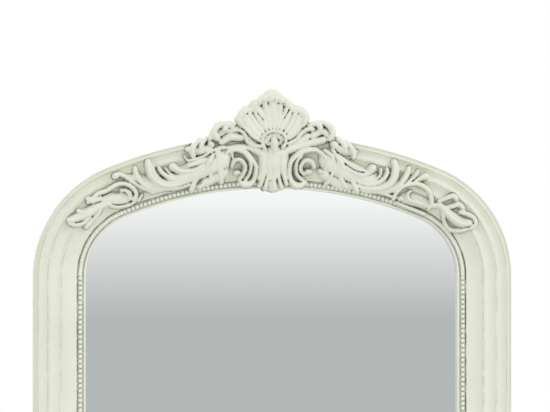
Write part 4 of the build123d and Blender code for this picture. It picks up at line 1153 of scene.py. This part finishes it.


# The paint: brushed satin, a pale sage ivory. An umber-green glaze lies in the hollows and creases,
# which are painted darker still with painted shade, most where the carving meets the moulding. The
# raised parts carry a painted highlight, and a few specks are knocked out of them.
def sage_paint(name, lines=()):
    """The frame's paint. Lines are insets of dark lines on the moulding: rubbed through on its
    arrises, and glaze with painted shade in the corners beside the beads.
    """
    material, surface, shade = new_material(name)
    place = shade.node("TexCoord", out=3)
    broad_patch = place.speckle(9.0, 2.0)
    small_patch = place.speckle(70.0, 3.0)
    grit = place.speckle(420.0, 4.0, 0.7)
    tone = shade.tone(228, 230, 215)
    cool = shade.tone(220, 224, 209)
    warm = shade.tone(228, 228, 210)
    skin = tone.blend(cool, broad_patch.rise(0.42, 0.62) * 0.5)
    skin = skin.blend(warm, small_patch.rise(0.5, 0.72) * 0.45)
    crease = shade.node("Attribute", {"attribute_name": "crease"}, out=2)
    hollow = shade.node("Attribute", {"attribute_name": "hollow"}, out=2)
    foot = shade.node("Attribute", {"attribute_name": "foot"}, out=2)
    # Tones for the glaze with painted shade, for the deepest painted shade and the knocked-out specks,
    # and for the painted highlight.
    glaze_and_shade_tone = shade.tone(166, 174, 150)
    deep_shade_and_speck = shade.tone(44, 46, 26)
    light = shade.tone(236, 238, 224)
    # Glaze with painted shade: darker in the broad hollows and the creases, darkest deep in the
    # creases.
    hollow_glaze_and_shade = hollow.rise(0.3, 1.7) * 0.72
    crease_glaze_and_shade = (crease + (place.speckle(34.0, 2.0) - 0.5) * 0.16).rise(0.05, 0.19)
    # Painted shade at the joints: where the carving meets the moulding, and at the foot of each bead.
    painted_joint_shade = (foot + (small_patch - 0.5) * 2.8).rise(1.9, -0.3)
    # Painted highlight: a lighter tone on the raised parts and arrises.
    painted_highlight = (hollow + (small_patch - 0.5) * 0.5).rise(-0.5, -1.6) * 0.6
    specks = grit.rise(0.70, 0.76) * place.speckle(38.0).rise(0.5, 0.66)
    skin = skin.blend(light, painted_highlight)
    skin = skin.blend(glaze_and_shade_tone, hollow_glaze_and_shade)
    skin = skin.blend(glaze_and_shade_tone, crease_glaze_and_shade * 0.8)
    skin = skin.blend(deep_shade_and_speck, crease_glaze_and_shade * crease_glaze_and_shade * 0.95)
    skin = skin.blend(glaze_and_shade_tone, painted_joint_shade * 0.8)
    skin = skin.blend(deep_shade_and_speck, painted_joint_shade * place.speckle(55.0).rise(0.42, 0.66) * 0.8)
    skin = skin.blend(deep_shade_and_speck, specks * 0.5)
    # Dark lines: rubbed arrises, and glaze with painted shade in the corners by the beads.
    rubbed_and_shaded_lines = None
    if lines:
        inset = shade.node("Attribute", {"attribute_name": "inset"}, out=2)
        wander = (place.speckle(28.0, 2.0) - 0.5) * 1.6
        for centre, breadth, share in lines:
            line = abs(inset + wander * 0.35 - centre).rise(breadth, breadth * 0.35)
            broken = place.speckle(24.0 + centre, 4.0, 0.62).rise(0.40, 0.56)
            line = line * (broken * 0.75 + 0.25) * share
            rubbed_and_shaded_lines = line if rubbed_and_shaded_lines is None else rubbed_and_shaded_lines + line
        umber = shade.tone(120, 122, 92)
        skin = skin.blend(umber, rubbed_and_shaded_lines.rise(0.0, 1.0))
    brush = place.stretched((260.0, 260.0, 60.0)).speckle(1.0, 2.0, 0.5)
    finish_surface(
        shade,
        surface,
        Base_Color=skin,
        Roughness=0.40 + hollow_glaze_and_shade * 0.2 + specks * 0.2 + small_patch * 0.08,
        Normal=(brush * 0.5 + grit * 0.5).bump(0.25, 0.0004),
        Coat_Weight=0.12,
        Coat_Roughness=0.35,
    )
    return material


# Each line: inset, breadth and share. The lines at 58.5 and 67.0 lie in the corners beside the beads
# and are glaze with painted shade; the others are rubbed arrises.
moulding_lines = (
    (6.5, 0.9, 0.35),
    (19.3, 0.8, 0.45),
    (21.0, 0.7, 0.3),
    (35.0, 0.8, 0.3),
    (37.2, 1.0, 0.4),
    (58.5, 1.1, 0.75),
    (67.0, 0.8, 0.45),
)
moulding_paint = sage_paint("moulding_paint", moulding_lines)
carving_paint = sage_paint("carving_paint")
for piece in moulding_pieces.values():
    dress(piece, moulding_paint)
for piece in (crest_piece, left_piece, right_piece):
    dress(piece, carving_paint)

# Beads: a row of small turned-looking pearls of moulded composition, pressed on to a flat bed beside
# the sight edge while soft, then painted with the frame. Paint fills the gaps between them.
bead_radius = 3.1
bead_pitch = 6.5
bead_line = 62.75
bead_sink = 1.0
bead_swell = 0.05


def bead_row(name, node, start, end, place):
    """Domes at an even pitch from start to end, each put where place says."""
    bm = bmesh.new()
    count = round((end - start) / bead_pitch)
    for k in range(count):
        along = start + (end - start) * (k + 0.5) / count
        x, z = place(along)
        swell = 1.0 + bead_swell * noise.noise((x * 0.31, 2.0, z * 0.31))
        seat = Matrix.Translation((x, bead_bed - bead_sink, z))
        seat = seat @ Matrix.Diagonal((swell, 1.0, swell, 1.0))
        bmesh.ops.create_uvsphere(bm, u_segments=12, v_segments=8, radius=bead_radius, matrix=seat)
    bmesh.ops.scale(bm, vec=(MM, MM, MM), verts=bm.verts)
    for face in bm.faces:
        face.smooth = True
    heights = [-vert.co.y / MM + bead_bed for vert in bm.verts]
    piece = piece_from(bm, name, "mirror", "painted_wood", node)
    # Each bead is painted darker towards its bed: glaze with painted shade in the gaps between beads.
    store(piece, "crease", [0.42 - 0.16 * height for height in heights])
    store(piece, "hollow", [1.2 - 0.6 * height for height in heights])
    store(piece, "foot", [2.0 * height for height in heights])
    dress(piece, carving_paint)


bead_corner = frame_bottom + bead_line
bead_x = half_width - bead_line
bead_start = bead_corner + bead_pitch / 2
bead_reach = bead_x + bead_pitch / 2
bead_row("stile_pearls_right", "stile_beads_right", bead_start, spring_height, lambda s: (bead_x, s))
bead_row("stile_pearls_left", "stile_beads_left", bead_start, spring_height, lambda s: (-bead_x, s))
bead_row("rail_pearls", "rail_beads", -bead_reach, bead_reach, lambda s: (s, bead_corner))
bead_row("arch_pearls", "arch_beads", -arch_half, arch_half, lambda s: arch_point(s, bead_line))

# Mirror glass: one sheet of float glass cut to the arch, silvered and painted on its back, laid in
# the rebate behind the sight edge.


def dress_node(node, material):
    """Give a carried-over solid one material in every slot."""
    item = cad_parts[node]
    if not item.material_slots:
        item.data.materials.append(material)
    for place in item.material_slots:
        place.material = material


glass_material, glass_surface, glass_shade = new_material("silvered_glass")
glass_place = glass_shade.node("TexCoord", out=3)
silver = glass_shade.flat((0.955, 0.965, 0.962, 1.0))
aged = glass_shade.flat((0.945, 0.955, 0.95, 1.0))
finish_surface(
    glass_shade,
    glass_surface,
    Base_Color=silver.blend(aged, glass_place.speckle(3.0)),
    Metallic=1.0,
    Roughness=0.0,
)
dress_node("mirror_glass", glass_material)

# Stand: beech posts turned between square blocks, cabriole feet tenoned and pegged into them, a
# turned stretcher bolted between, urn finials and turned knobs, all painted like the frame.
stand_material, stand_surface, stand_shade = new_material("stand_paint")
stand_place = stand_shade.node("TexCoord", out=3)
stand_tone = stand_shade.tone(224, 227, 212)
stand_cool = stand_shade.tone(212, 218, 202)
stand_umber = stand_shade.tone(132, 132, 104)
stand_small = stand_place.speckle(60.0, 3.0)
stand_grit = stand_place.speckle(380.0, 4.0, 0.7).rise(0.68, 0.75)
stand_specks = stand_grit * stand_place.speckle(30.0).rise(0.48, 0.66)
stand_skin = stand_tone.blend(stand_cool, stand_place.speckle(8.0).rise(0.4, 0.64) * 0.6)
stand_skin = stand_skin.blend(stand_cool, stand_small.rise(0.5, 0.7) * 0.4)
stand_skin = stand_skin.blend(stand_umber, stand_specks * 0.7)
stand_brush = stand_place.stretched((260.0, 260.0, 50.0)).speckle(1.0, 2.0, 0.5)
finish_surface(
    stand_shade,
    stand_surface,
    Base_Color=stand_skin,
    Roughness=0.42 + stand_small * 0.1,
    Normal=stand_brush.bump(0.25, 0.0004),
)
for node in (
    "post_left",
    "post_right",
    "finial_left",
    "finial_right",
    "foot_front_left",
    "foot_front_right",
    "foot_back_left",
    "foot_back_right",
    "stretcher",
    "knob_left",
    "knob_right",
):
    dress_node(node, stand_material)

# Backing board: thin birch plywood in the rebate behind the glass, held by round-head screws. The
# tenons, splines, pegs and dowels inside the joints are left bare like it.
wood_material, wood_surface, wood_shade = new_material("bare_plywood")
wood_place = wood_shade.node("TexCoord", out=3)
wood_grain = wood_place.stretched((34.0, 34.0, 2.2))
wood_rings = wood_grain.speckle(1.0, 5.0, 0.5)
wood_fine = wood_grain.speckle(9.0, 3.0, 0.5)
wood_light = wood_shade.tone(203, 170, 126)
wood_dark = wood_shade.tone(160, 122, 80)
wood_skin = wood_light.blend(wood_dark, wood_rings.rise(0.35, 0.7) * 0.7)
wood_skin = wood_skin.blend(wood_dark, wood_fine.rise(0.55, 0.8) * 0.5)
finish_surface(
    wood_shade,
    wood_surface,
    Base_Color=wood_skin,
    Roughness=0.6 + wood_fine * 0.15,
    Normal=wood_fine.bump(0.3, 0.0004),
)
for node in ("backing_board", "arch_loose_tenons", "mitre_splines", "foot_pegs", "stretcher_dowels"):
    dress_node(node, wood_material)

# Fittings: aged brass plates, bushes, washers and caps, bright steel spindles, screws and glides,
# and oiled leather friction washers.
fittings = {
    "aged_brass": (colour(184, 150, 84), colour(128, 98, 52), 1.0, 0.32, (
        "pivot_plate_left",
        "pivot_plate_right",
        "pivot_bush_left",
        "pivot_bush_right",
        "clamp_washer_left",
        "clamp_washer_right",
        "knob_insert_left",
        "knob_insert_right",
        "stretcher_bolt_caps",
    )),
    "bright_steel": (colour(190, 190, 188), colour(140, 140, 138), 1.0, 0.3, (
        "backing_screws",
        "pivot_plate_screws",
        "stretcher_bolts",
        "stretcher_barrel_nuts",
        "foot_glides",
        "spindle_left",
        "spindle_right",
    )),
    "oiled_leather": (colour(96, 62, 40), colour(58, 36, 24), 0.0, 0.6, (
        "friction_washer_left",
        "friction_washer_right",
    )),
}
for name, (bright, dull, metal, rough, nodes) in fittings.items():
    material, surface, shade = new_material(name)
    spot = shade.node("TexCoord", out=3)
    patches = spot.speckle(160.0, 4.0, 0.6)
    finish_surface(
        shade,
        surface,
        Base_Color=shade.flat(bright).blend(shade.flat(dull), patches.rise(0.42, 0.68)),
        Metallic=metal,
        Roughness=rough + patches * 0.2,
        Normal=spot.speckle(900.0).bump(0.2, 0.0002),
    )
    for node in nodes:
        dress_node(node, material)
